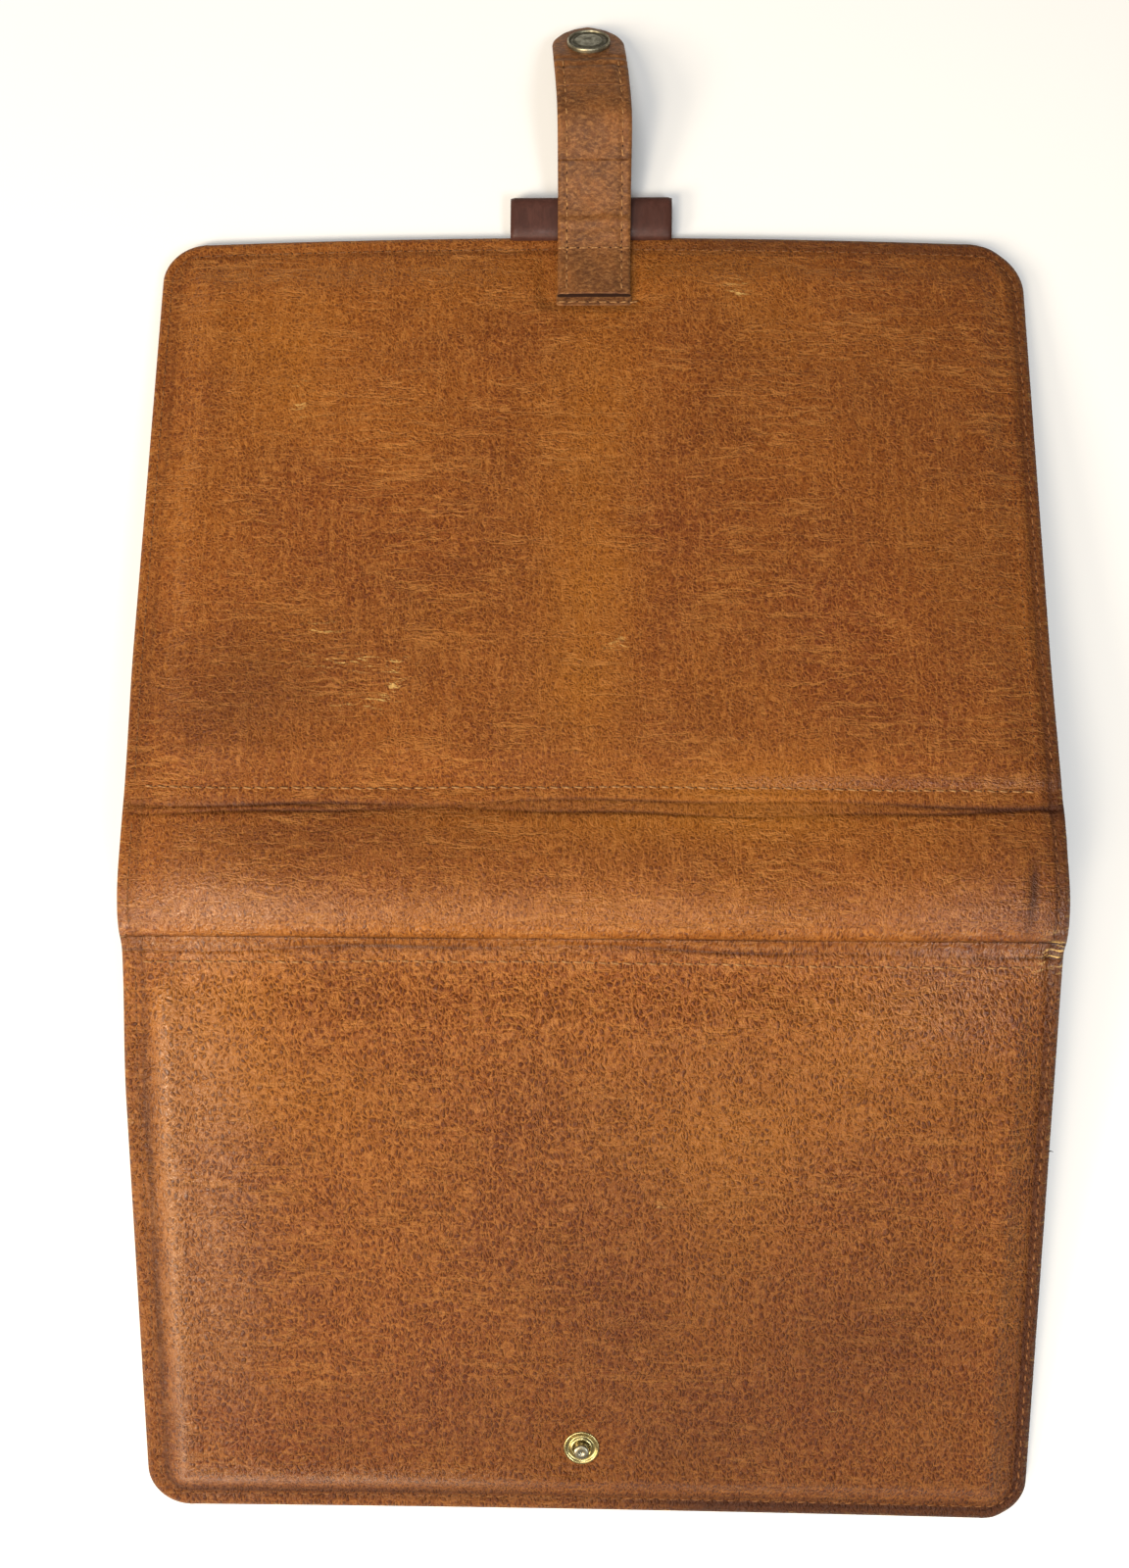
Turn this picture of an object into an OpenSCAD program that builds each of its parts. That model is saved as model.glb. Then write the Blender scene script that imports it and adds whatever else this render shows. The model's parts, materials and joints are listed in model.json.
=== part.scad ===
// Leather travel document holder: two padded covers hinged on a soft spine, a snap strap and a pen loop.
// It rests open like a low tent, outside up. +X runs along the spine, +Y towards the strap, +Z up.

/* [Covers] */
// Length of the covers and the spine
cover_w = 248; // [240:1:256]
// Depth of each cover from its crease to its free edge
cover_d = 167; // [165:0.5:169]
// Width of the spine between its two creases
spine_d = 36; // [35:0.5:37]
// Slope of each cover at rest, in degrees
droop = 9.5; // [9:0.5:10]
// Corner radius at the left end of the free edges
corner_left = 11.5; // [6:0.5:14]
// Corner radius at the right end of the back cover's free edge
corner_right = 15; // [8:0.5:18]

/* [Layers] */
// Thickness of the outer leather
leather_t = 1.6; // [1.2:0.1:2]
// Thickness of the stiffening board
board_t = 1.6; // [1.2:0.1:2]
// Thickness of the lining leather
lining_t = 1; // [0.8:0.1:1.2]
// Height of the foam under the covers' outer leather
pad_t = 1.4; // [1:0.1:1.6]
// Flat sewn margin around the foam
pad_margin = 9; // [7:0.5:11]
// Height of the spine's crown above its sewn margins
crown = 4.6; // [3:0.2:6]

/* [Strap] */
// Width of the strap
strap_w = 21.8; // [20:0.2:24]
// Thickness of the strap's top leather
strap_leather_t = 1.2; // [1:0.1:1.3]
// Thickness of the strap's lining
strap_lining_t = 1; // [0.8:0.1:1.1]
// Slope of the strap's rising stretch at rest, in degrees
mid_slope = 24; // [20:1:26]
// Slope of the strap's falling stretch at rest, in degrees
turn_slope = -18; // [-20:1:-16]
// Slope of the strap's tip at rest, in degrees
end_slope = -32.5; // [-33:0.5:-30]
// Angle that each cover has folded from flat when the holder is snapped shut
closed_fold = 95.3; // [95.2:0.1:95.5]

/* [Snap] */
// Diameter of the snap's cap
cap_d = 12.5; // [12:0.1:13]
// Diameter of the stud's flange
stud_d = 10.3; // [10:0.1:10.6]
// Distance from the front cover's free edge to the stud
stud_inset = 21; // [20:0.5:22]

/* [Pen loop] */
// Length of the pen loop along the free edge
loop_w = 47; // [40:1:50]
// How far the pen loop stands out from the free edge
loop_out = 12.4; // [12:0.1:12.5]
// Clear height inside the pen loop
loop_gap = 4.3; // [4.2:0.1:4.4]
// Thickness of the pen loop's leather
loop_t = 0.9; // [0.8:0.1:1]

/* [Hidden] */
$fn = 64;

overcut = 0.1;
crease_gap = 0.2;
board_h = lining_t;
leather_h = board_h + board_t;
margin_h = leather_h + leather_t;
face_h = margin_h + pad_t;
hinge_z = cover_d * sin(droop);

// The foam keeps clear of the strap's base, and its hollow reaches down to the board
back_far_margin = 23;
foam_corner = 6;
foam_sink = 1;
spine_foam_margin = 5;

// Seams: how far each lies from its edge, and the thread that stands on the leather
thread_w = 0.7;
thread_t = 0.25;
side_seam = 3;
free_seam = 4;
crease_seam = 6;
strap_clear_left = 0.5;
strap_clear_right = 4;

// Pockets: on the back cover's lining, then the passport pocket on a raised gusset, open towards +X
slip_t = 1;
document_low = [-118, 52];
document_high = [118, 158];
card_left = 14;
card_right = 108;
card_first = 46;
card_lap = 14;
card_far = 124;
pocket_low = [-112, 14];
pocket_high = [24, 112];
gusset_h = 5.6;
gusset_w = 2.5;

// The strap: where its base starts, where it bends, and how its two stretches close onto the stud
strap_t = strap_leather_t + strap_lining_t;
top_low = strap_t / 2 - strap_leather_t;
base_start = cover_d - 18.2;
base_lining_start = base_start - 2.6;
base_lining_side = 3;
base_lift = 3.85;
wrap_u = cover_d + 7.9;
wrap_h = margin_h + 5.2;
wrap_angle = 85;
tip_bend = 9.5;
tip_past_snap = 9.5;
socket_t = 2;
socket_r = 2.65;
groove_r = 3.25;
spring_r = 2.85;
spring_wire_r = 0.25;
spring_up = 0.8;
flange_t = 0.8;
snap_gap = 0.3;
snap_h = face_h + flange_t + snap_gap + socket_t + strap_t / 2;
stud_u = cover_d - stud_inset;
snap_x = -1;
lean_s = sin(closed_fold - 90);
lean_c = cos(closed_fold - 90);
twice_sc = 2 * lean_s * lean_c;
cos_2 = lean_c * lean_c - lean_s * lean_s;
reach_u = wrap_u - (spine_d * lean_s + stud_u * cos_2 + snap_h * twice_sc);
reach_h = wrap_h + spine_d * lean_c - stud_u * twice_sc + snap_h * cos_2;
mid_len = (reach_h - twice_sc * reach_u / cos_2) / (sin(wrap_angle) + twice_sc * cos(wrap_angle) / cos_2);
turn_len = (reach_u + mid_len * cos(wrap_angle)) / cos_2;
wrap_relief = 1.6;
turn_relief = 1.3;
tip_relief = 0.5;
rivet_r = 1.6;
rivet_head_r = 4;
rivet_head_t = 0.5;

// The whole outline's reach along +Y and -Y from the spine's middle, and the shift that centres it
wrap_y = spine_d / 2 + wrap_u * cos(droop) + wrap_h * sin(droop);
tip_y = wrap_y + mid_len * cos(mid_slope) + (turn_len - tip_bend) * cos(turn_slope)
    + (tip_bend + tip_past_snap) * cos(end_slope) + strap_t / 2 * sin(-end_slope);
edge_y = spine_d / 2 + cover_d * cos(droop) + margin_h * sin(droop);
shift_y = (edge_y - tip_y) / 2;

// The pen loop starts just clear of the free edge
loop_h = loop_gap + 2 * loop_t;
loop_y = edge_y + 0.4;

tan_leather = "#a8642f";
dark_leather = "#5a3428";
foam = "#d8cdb8";
board_grey = "#8c8172";
thread_tan = "#c79a63";
brass = "#c9a24a";
old_brass = "#8a7440";

// Frames. On a cover, +Y runs out from the crease and +Z out through its outer face.
module spine_frame() { translate([0, shift_y, hinge_z]) children(); }
module back_frame() { spine_frame() translate([0, spine_d / 2, 0]) rotate([-droop, 0, 0]) children(); }
module front_frame() { spine_frame() mirror([0, 1, 0]) translate([0, spine_d / 2, 0]) rotate([-droop, 0, 0]) children(); }
// On the strap, +Y runs towards its tip and +Z through its top leather, from the middle of its thickness.
module mid_frame() { back_frame() translate([0, wrap_u, wrap_h]) rotate([droop + mid_slope, 0, 0]) children(); }
module turn_frame() { mid_frame() translate([0, mid_len, 0]) rotate([turn_slope - mid_slope, 0, 0]) children(); }
module end_frame() { turn_frame() translate([0, turn_len - tip_bend, 0]) rotate([end_slope - turn_slope, 0, 0]) children(); }
module stud_frame() { front_frame() translate([snap_x, stud_u, face_h]) children(); }
module cap_frame() { end_frame() translate([snap_x, tip_bend, 0]) children(); }

// A block between two corners
module block(low, high) { translate(low) cube(high - low); }

module corner_waste(r) {
    difference() {
        translate([-overcut, -overcut]) square(r + overcut);
        circle(r);
    }
}

// A cover-shaped plate with two rounded corners at its free edge, inset from the cover's outline
module plate(inset, near, far, low, high, r_left, r_right) {
    half = cover_w / 2 - inset;
    translate([0, 0, low]) linear_extrude(high - low) difference() {
        translate([-half, near]) square([2 * half, far - near]);
        translate([half - r_right, far - r_right]) corner_waste(r_right);
        translate([r_left - half, far - r_left]) mirror([1, 0]) corner_waste(r_left);
    }
}

module cover_plate(low, high, r_right) {
    plate(0, crease_gap, cover_d, low, high, corner_left, r_right);
}

module foam_plate(grow, low, high, far_margin) {
    plate(pad_margin - grow, pad_margin - grow, cover_d - far_margin + grow, low, high,
        foam_corner + grow, foam_corner + grow);
}

// Outer leather: a flat sewn margin around a raised panel that holds the foam
module cover_leather(r_right, far_margin) {
    difference() {
        union() {
            cover_plate(leather_h, margin_h, r_right);
            foam_plate(leather_t, margin_h, face_h, far_margin);
        }
        foam_plate(0, leather_h - foam_sink, leather_h + pad_t, far_margin);
    }
}

// Seam threads: one around the margin and one beside the crease, left out where a piece lies on them
module seam_threads(gap_from, gap_to) {
    side = cover_w / 2 - side_seam;
    far = cover_d - free_seam;
    top = margin_h + thread_t;
    for (x = [-side, side - thread_w]) block([x, crease_seam, margin_h], [x + thread_w, far - corner_right, top]);
    for (span = [[-side + corner_left, gap_from], [gap_to, side - corner_right]])
        block([span[0], far - thread_w, margin_h], [span[1], far, top]);
    block([-side + thread_w, crease_seam, margin_h], [side - thread_w, crease_seam + thread_w, top]);
}

// A crowned spine section of one thickness, from an arc over the spine's width
module crown_section(top, rise, depth) {
    half = spine_d / 2 - crease_gap;
    r = (half * half + rise * rise) / (2 * rise);
    rotate([90, 0, 90]) translate([0, 0, -cover_w / 2]) linear_extrude(cover_w) intersection() {
        translate([0, top - r]) circle(r, $fn = 180);
        translate([-half, top - depth]) square([2 * half, depth]);
    }
}

module spine_leather() {
    half = spine_d / 2 - crease_gap;
    color(tan_leather) spine_frame() difference() {
        union() {
            block([-cover_w / 2, -half, leather_h], [cover_w / 2, half, margin_h]);
            crown_section(margin_h + crown, crown, crown);
        }
        crown_hollow();
    }
}

module crown_hollow() {
    inner = spine_d / 2 - spine_foam_margin;
    intersection() {
        crown_section(margin_h + crown - leather_t, crown, crown + leather_t + 1);
        block([pad_margin - cover_w / 2, -inner, leather_h], [cover_w / 2 - pad_margin, inner, margin_h + crown]);
    }
}

module spine_padding() { color(foam) spine_frame() crown_hollow(); }

module spine_board() {
    half = spine_d / 2 - crease_gap;
    color(board_grey) spine_frame() block([-cover_w / 2, -half, board_h], [cover_w / 2, half, leather_h]);
}

module spine_lining() {
    half = spine_d / 2 - crease_gap;
    color(dark_leather) spine_frame() block([-cover_w / 2, -half, 0], [cover_w / 2, half, board_h]);
}

// Back cover
module back_leather() { color(tan_leather) back_frame() cover_leather(corner_right, back_far_margin); }
module back_padding() { color(foam) back_frame() foam_plate(0, leather_h, leather_h + pad_t, back_far_margin); }
module back_board() { color(board_grey) back_frame() cover_plate(board_h, leather_h, corner_right); }
module back_lining() { color(dark_leather) back_frame() cover_plate(0, board_h, corner_right); }
module back_thread() {
    color(thread_tan) back_frame()
        seam_threads(-strap_w / 2 - strap_clear_left, strap_w / 2 + strap_clear_right);
}

// Slip pockets lie flat against the lining, each one lapping the last
module document_pocket() {
    color(dark_leather) back_frame()
        block([document_low[0], document_low[1], -slip_t], [document_high[0], document_high[1], 0]);
}

module card_slot(i) {
    color(dark_leather) back_frame()
        block([card_left, card_first + card_lap * i, -slip_t * (1 + i)], [card_right, card_far, -slip_t * i]);
}

// Strap base: sewn to the back cover, then rising over the pen loop
module strap_base_profile(low, high) {
    under = margin_h + low;
    over = margin_h + high;
    // Places along the cover, and how far the strap has lifted there
    path = [[cover_d - 5.5, 0], [cover_d - 1, 0.9], [cover_d + 3.2, 3.1], [wrap_u - wrap_relief, base_lift]];
    last = len(path) - 1;
    translate([-strap_w / 2, 0, 0]) rotate([90, 0, 90]) linear_extrude(strap_w) polygon(concat(
        [[base_start, under]], [for (p = path) [p[0], under + p[1]]],
        [for (i = [last:-1:0]) [path[i][0], over + path[i][1]]], [[base_start, over]]
    ));
}

module strap_base_leather() { color(tan_leather) back_frame() strap_base_profile(strap_lining_t, strap_t); }

module strap_base_lining() {
    color(dark_leather) back_frame() {
        strap_base_profile(0, strap_lining_t);
        block([-strap_w / 2, base_lining_start, margin_h],
            [strap_w / 2 + base_lining_side, base_start, margin_h + strap_lining_t]);
    }
}

// Front cover
module rivet_hole() {
    difference() {
        children();
        translate([snap_x, stud_u, -overcut]) cylinder(r = rivet_r, h = face_h + 2 * overcut);
    }
}

module front_leather() { color(tan_leather) front_frame() rivet_hole() cover_leather(corner_left, pad_margin); }
module front_padding() {
    color(foam) front_frame() rivet_hole() foam_plate(0, leather_h, leather_h + pad_t, pad_margin);
}
module front_board() { color(board_grey) front_frame() rivet_hole() cover_plate(board_h, leather_h, corner_left); }
module front_lining() { color(dark_leather) front_frame() rivet_hole() cover_plate(0, board_h, corner_left); }
module front_thread() { color(thread_tan) front_frame() seam_threads(0, 0); }

// The passport pocket: a panel on a raised gusset along three sides
module passport_pocket() {
    color(dark_leather) front_frame()
        block([pocket_low[0], pocket_low[1], -gusset_h - slip_t], [pocket_high[0], pocket_high[1], -gusset_h]);
}

module gusset(low, high) {
    color(dark_leather) front_frame() block([low[0], low[1], -gusset_h], [high[0], high[1], 0]);
}

module passport_gusset_inner() { gusset(pocket_low, [pocket_high[0], pocket_low[1] + gusset_w]); }
module passport_gusset_outer() { gusset([pocket_low[0], pocket_high[1] - gusset_w], pocket_high); }
module passport_gusset_end() {
    gusset(pocket_low + [0, gusset_w], [pocket_low[0] + gusset_w, pocket_high[1] - gusset_w]);
}

// Snap stud: a ringed flange with a mushroom post, held by a tubular rivet from inside
module snap_stud() {
    color(brass) stud_frame() rotate_extrude() polygon([
        [0, 0], [stud_d / 2, 0], [stud_d / 2, 0.55], [stud_d / 2 - 0.4, flange_t], [3.3, flange_t - 0.25],
        [2.75, flange_t], [1.85, flange_t], [1.8, 1.5], [2.2, 2], [1.9, 2.4], [0.8, 2.55], [0, 2.5]
    ]);
}

module snap_stud_post() {
    color(brass) stud_frame() {
        translate([0, 0, -face_h]) cylinder(r = rivet_r, h = face_h);
        translate([0, 0, -face_h - rivet_head_t]) cylinder(r = rivet_head_r, h = rivet_head_t);
    }
}

// Strap stretches beyond the base
module strap_plate(from, to, low, high) { block([-strap_w / 2, from, low], [strap_w / 2, to, high]); }

module strap_mid(low, high) { mid_frame() strap_plate(wrap_relief, mid_len - turn_relief, low, high); }
module strap_turn(low, high) {
    turn_frame() strap_plate(turn_relief, turn_len - tip_bend - tip_relief, low, high);
}

module strap_end(low, high) {
    round_y = tip_bend + tip_past_snap - strap_w / 2;
    end_frame() translate([0, 0, low]) linear_extrude(high - low) difference() {
        intersection() {
            translate([-strap_w / 2, tip_relief]) square([strap_w, strap_w]);
            union() {
                translate([0, round_y]) circle(strap_w / 2);
                translate([-strap_w / 2, 0]) square([strap_w, round_y]);
            }
        }
        translate([snap_x, tip_bend]) circle(rivet_r);
    }
}

module strap_mid_leather() { color(tan_leather) strap_mid(top_low, strap_t / 2); }
module strap_mid_lining() { color(dark_leather) strap_mid(-strap_t / 2, top_low); }
module strap_turn_leather() { color(tan_leather) strap_turn(top_low, strap_t / 2); }
module strap_turn_lining() { color(dark_leather) strap_turn(-strap_t / 2, top_low); }
module strap_end_leather() { color(tan_leather) strap_end(top_low, strap_t / 2); }
module strap_end_lining() { color(dark_leather) strap_end(-strap_t / 2, top_low); }

// Snap cap: a dished disc on a rivet through the strap
module snap_cap() {
    r = cap_d / 2;
    color(old_brass) cap_frame() rotate_extrude() polygon([
        [0, -strap_t / 2], [rivet_r, -strap_t / 2], [rivet_r, strap_t / 2], [r - 0.3, strap_t / 2],
        [r, strap_t / 2 + 0.4], [r, strap_t / 2 + 1.1], [r - 0.5, strap_t / 2 + 1.4], [r - 1.1, strap_t / 2 + 1],
        [r - 1.8, strap_t / 2 + 0.9], [r - 2.6, strap_t / 2 + 1.25], [1.4, strap_t / 2 + 1.25],
        [0.8, strap_t / 2 + 0.9], [0, strap_t / 2 + 0.8]
    ]);
}

// Snap socket under the strap, with a groove that holds the ring spring
module snap_socket() {
    color(brass) cap_frame() translate([0, 0, -strap_t / 2 - socket_t]) rotate_extrude() polygon([
        [socket_r, 0], [stud_d / 2 - 0.3, 0], [stud_d / 2, 0.4], [stud_d / 2, socket_t], [socket_r, socket_t],
        [socket_r, 1.1], [groove_r, 1.1], [groove_r, 0.5], [socket_r, 0.5]
    ]);
}

module snap_spring() {
    color(old_brass) cap_frame() translate([0, 0, -strap_t / 2 - socket_t + spring_up])
        rotate_extrude() translate([spring_r, 0]) circle(spring_wire_r, $fn = 24);
}

// Pen loop: a flattened loop of leather that folds in against the free edge when the strap closes
module pen_loop() {
    color(dark_leather) translate([-loop_w / 2, shift_y + loop_y, 0]) rotate([90, 0, 90]) linear_extrude(loop_w)
        difference() {
            stadium(loop_h / 2, 0, loop_out);
            stadium(loop_gap / 2, loop_t, loop_out - loop_t);
        }
}

module stadium(r, from, to) {
    translate([from + r, loop_h / 2 - r]) square([to - from - 2 * r, 2 * r]);
    for (y = [from + r, to - r]) translate([y, loop_h / 2]) circle(r);
}

spine_leather();
spine_padding();
spine_board();
spine_lining();
back_leather();
back_padding();
back_board();
back_lining();
back_thread();
document_pocket();
card_slot(1);  // card_slot_1
card_slot(2);  // card_slot_2
card_slot(3);  // card_slot_3
strap_base_leather();
strap_base_lining();
front_leather();
front_padding();
front_board();
front_lining();
front_thread();
passport_pocket();
passport_gusset_inner();
passport_gusset_outer();
passport_gusset_end();
snap_stud();
snap_stud_post();
strap_mid_leather();
strap_mid_lining();
strap_turn_leather();
strap_turn_lining();
strap_end_leather();
strap_end_lining();
snap_cap();
snap_socket();
snap_spring();
pen_loop();
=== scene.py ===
import json
import math

import bmesh
import bpy
import numpy as np
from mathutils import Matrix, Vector


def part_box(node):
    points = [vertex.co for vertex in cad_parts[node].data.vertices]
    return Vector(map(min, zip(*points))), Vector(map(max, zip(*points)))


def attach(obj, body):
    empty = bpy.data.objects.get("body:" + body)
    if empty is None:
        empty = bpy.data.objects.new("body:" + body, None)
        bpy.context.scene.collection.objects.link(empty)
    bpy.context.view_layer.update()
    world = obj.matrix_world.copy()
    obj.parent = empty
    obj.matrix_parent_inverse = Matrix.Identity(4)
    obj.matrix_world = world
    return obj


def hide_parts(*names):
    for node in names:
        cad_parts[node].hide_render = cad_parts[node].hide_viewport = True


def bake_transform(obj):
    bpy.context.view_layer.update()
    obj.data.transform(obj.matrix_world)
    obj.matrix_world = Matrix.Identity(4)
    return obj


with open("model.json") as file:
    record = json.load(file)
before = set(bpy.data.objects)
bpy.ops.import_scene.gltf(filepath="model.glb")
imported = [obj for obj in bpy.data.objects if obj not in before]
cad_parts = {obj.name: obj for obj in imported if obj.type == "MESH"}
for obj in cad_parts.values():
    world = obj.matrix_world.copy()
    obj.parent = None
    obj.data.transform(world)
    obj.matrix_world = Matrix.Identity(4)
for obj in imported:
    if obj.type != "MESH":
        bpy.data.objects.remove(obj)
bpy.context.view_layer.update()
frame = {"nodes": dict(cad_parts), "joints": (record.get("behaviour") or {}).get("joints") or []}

# ---------------------------------------------------------------- sizes, in millimetres, from the frame
MM = 0.001
JOINTS = {j["name"]: j for j in frame["joints"]}
BACK_AXIS = Vector(JOINTS["back_fold"]["pos_m"]) / MM
FRONT_AXIS = Vector(JOINTS["front_fold"]["pos_m"]) / MM
SPINE_Y = (BACK_AXIS.y + FRONT_AXIS.y) / 2
HALF_SPINE = (BACK_AXIS.y - FRONT_AXIS.y) / 2
HINGE_Z = BACK_AXIS.z
DROOP = math.radians(-JOINTS["back_fold"]["range_deg"][0])
LINING_T = 1.0
HALF_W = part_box("back_lining")[1].x / MM
COVER_D = (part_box("back_lining")[1].y / MM - BACK_AXIS.y - LINING_T * math.sin(DROOP)) / math.cos(DROOP)
LEATHER_H = 2.6            # underside of the hide, above the lining's inner face
MARGIN_H = 4.2             # top of the hide at the thin sewn margin
PAD_T = 1.4                # how much the padding raises a cover
FACE_H = MARGIN_H + PAD_T
FRONT_PUFF = 1.3           # extra loft of the front cover, which is fuller than the back
CROWN = 4.6                # rise of the spine's back
CORNER_LEFT = 11.5
CORNER_RIGHT = {1: 15.0, -1: 11.5}     # 1 is the back cover and -1 the front, here and below
COVER = {1: "back_cover", -1: "front_cover"}
END = {1: "back", -1: "front"}         # how names of pieces start
SEAM_U = 4.7               # seam beside a crease, from the crease
PARTING = -1.1             # where the two hide pieces part, in the front crease
SIDE_SEAM = {1: 2.6, -1: 3.4}
RIGHT_SEAM = 2.2
FREE_SEAM = 3.9
WELT_SEAM = 6.6
SPINE_SEAM = 2.8
STITCH = 3.3
STAIN_X = 115              # the dark upright stain near the spine's right end
STRAP_W = 21.8
STRAP_T = 2.2
STRAP_TRIM = 0.4           # taken off each side of the strap, which the photo shows slimmer
STRAP_HALF = STRAP_W / 2 - STRAP_TRIM
STRAP_SEAM = 2.6
BASE_U = COVER_D - 18.2    # start of the strap on the back cover
CROSS_SEAM = 3.4           # stitches across the strap, from the free edge
TIP_SLOPE = math.radians(-32.5)
SNAP_ALONG = 9.5           # snap's middle and strap's end, from the tip's joint
TIP_ALONG = 20.1
CAP_R = 6.25
FLANGE_R = 5.15
STUD_X = -1.0
STUD_U = COVER_D - 21.0
LOOP_WALL = 0.9
LOOP_UNDERCUT = 0.2        # keeps the loop's lower face clear of the closed front cover
AXIS_X = np.array([1.0, 0, 0])
CAMERA_LENS = 25.41
CAMERA_PLACE = (-0.00054, -0.01256, 0.32548)
CAMERA_TURN = (0.929, 1.132, 0.305)    # degrees
FLOOR_HALF = 3.0
FLOOR_Z = -0.0003
# How the thread lies in the seams at a margin, and on the strap and pockets
MARGIN_LOOK = {"thickness": 0.5, "rise": 0.12}
STRAP_LOOK = {"thickness": 0.5, "rise": 0.16}


# ---------------------------------------------------------------- small maths helpers
def smooth(low, high, value):
    t = np.clip((value - low) / (high - low), 0, 1)
    return t * t * (3 - 2 * t)


def bell(value, centre, width):
    return np.exp(-(((value - centre) / width) ** 2))


def waves(x, y, scale, seed, octaves=5):
    """Smooth random rolling, about -1 to 1, from a sum of plane waves."""
    rng = np.random.default_rng(seed)
    total = np.zeros(np.broadcast(x, y).shape)
    for _ in range(octaves * 3):
        angle = rng.uniform(0, 2 * math.pi)
        reach = scale * rng.uniform(0.5, 1.6)
        k = 2 * math.pi / reach
        total += np.sin(k * (x * math.cos(angle) + y * math.sin(angle)) + rng.uniform(0, 2 * math.pi))
    return total / math.sqrt(octaves * 3)


def on_path(side, v, h):
    """Y and Z of a place v along the unfolded hide from the spine's middle, at height h over the lining."""
    v, h = np.broadcast_arrays(np.asarray(v, float), np.asarray(h, float))
    u = v - HALF_SPINE
    c, s = math.cos(DROOP), math.sin(DROOP)
    cover = u > 0
    y = np.where(cover, HALF_SPINE + u * c + h * s, v)
    z = np.where(cover, HINGE_Z - u * s + h * c, HINGE_Z + h)
    return SPINE_Y + side * y, z


def lay(side, x, v, h):
    """Points on the hide, with the real piece's slightly bowed outline."""
    u = np.clip(v - HALF_SPINE, 0, COVER_D)
    share = smooth(0, 45, u)
    left = 0.6 + (0.7 if side > 0 else 1.3) * share
    right = 1.3 + (-0.5 if side > 0 else 0.0) * share
    wide = np.where(x < 0, -left, right) * (np.abs(x) / HALF_W) ** 3
    bend = 1.9 - 2.9 * ((x + 12) / HALF_W) ** 2 if side > 0 else 0.6 + 0.7 * (x / HALF_W) ** 2
    y, z = on_path(side, v + bend * (u / COVER_D) ** 3, h)
    return np.stack([x + wide + 0 * y, y, z], -1)


def cover_point(side, x, u, h):
    y, z = on_path(side, HALF_SPINE + u, h)
    return np.array([x, float(y), float(z)])


def cover_axes(side):
    """Unit vectors along +X, out from the crease and out through the outer face of a cover."""
    c, s = math.cos(DROOP), math.sin(DROOP)
    return np.array([1.0, 0, 0]), np.array([0, side * c, -s]), np.array([0, side * s, c])


def edge_distance(side, x, u, inset=0.0):
    """Distance in from a cover's outline, with its rounded corners, at the sides and free edge."""
    r = np.where(x < 0, CORNER_LEFT, CORNER_RIGHT[side]) - inset
    qx = np.abs(x) - (HALF_W - inset - r)
    qu = u - (COVER_D - inset - r)
    outside = np.hypot(np.maximum(qx, 0), np.maximum(qu, 0))
    return r - outside - np.minimum(np.maximum(qx, qu), 0)


# ---------------------------------------------------------------- the hide's shape
def cover_height(side, x, u):
    """Height of the outer leather above the lining's inner face, on a cover."""
    d = edge_distance(side, x, u)
    right = smooth(-5, 5, x)
    puff = FRONT_PUFF if side < 0 else 0.0
    raised = smooth(4.4, 12.5 if side < 0 else 17.0, d) * smooth(5.5, 22.0 if side < 0 else 16.0, u)
    pad = (PAD_T + puff) * raised
    pad += 0.55 * raised * (1 - (x / HALF_W) ** 2) * np.sin(math.pi * np.clip(u / COVER_D, 0, 1))
    pad += (0.55 * puff * (1 - right) + 0.3 * right) * bell(d, 12.5, 3.4) * smooth(8, 16, u)
    pad += 0.16 * raised * waves(x, u * side, 55, 3) + 0.05 * raised * waves(x, u * side, 16, 4)
    if side > 0:
        pad *= 1 - smooth(17, 12.5, np.abs(x)) * smooth(COVER_D - 25, COVER_D - 20, u)
    else:
        away = np.hypot(x - STUD_X, u - STUD_U)
        pad = pad + (PAD_T - 0.1 - pad) * bell(away, 0, 8.5)
    h = MARGIN_H + pad
    h -= 0.34 * bell(u, SEAM_U, 0.8) * smooth(1.5, 4, d)
    seam = np.where(d < COVER_D - u - 0.5, SIDE_SEAM[side], FREE_SEAM)
    h -= 0.3 * bell(d, seam, 0.75)
    h -= 0.42 * smooth(4.9, 4.3, d) * right * smooth(HALF_W - 9, HALF_W - 5, np.abs(x))
    h += 0.16 * bell(d, 5.4, 0.8) * right * smooth(HALF_W - 9, HALF_W - 5, np.abs(x))
    h -= 0.6 * (1 - np.clip(d / 1.5, 0, 1)) ** 2
    return h


def spine_height(side, x, v):
    """Height of the outer leather over the spine: its crown leans towards the front cover."""
    across = np.clip((side * v + HALF_SPINE) / (2 * HALF_SPINE), 0, 1)
    d = HALF_W - np.abs(x)
    crown = CROWN * np.sin(math.pi * across ** 0.65)
    crown *= 0.72 + 0.28 * smooth(2, 13, d)
    crown += 0.22 * np.sin(math.pi * across) * waves(x, v * side, 40, 7)
    crown += 0.10 * np.sin(math.pi * across) * waves(x, v * side, 13, 8)
    crown -= 0.3 * bell(d, 2.8, 0.8)
    crown -= 0.45 * bell(x, HALF_W - 9.5, 1.6) * np.sin(math.pi * across)
    crown -= 0.5 * (1 - np.clip(d / 1.5, 0, 1)) ** 2
    return MARGIN_H + crown


def crease_lines(side, x):
    """Where two fine wrinkles wander along a crease, as distances from it."""
    first = 0.9 + 0.75 * np.sin(x / 37 + side) + 0.35 * np.sin(x / 11 + 2 * side)
    if side < 0:
        return first + 0.5, np.full_like(x, PARTING)
    return first, -1.0 + 0.7 * np.sin(x / 26 + 2 + side) + 0.3 * np.sin(x / 8.5)


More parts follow.
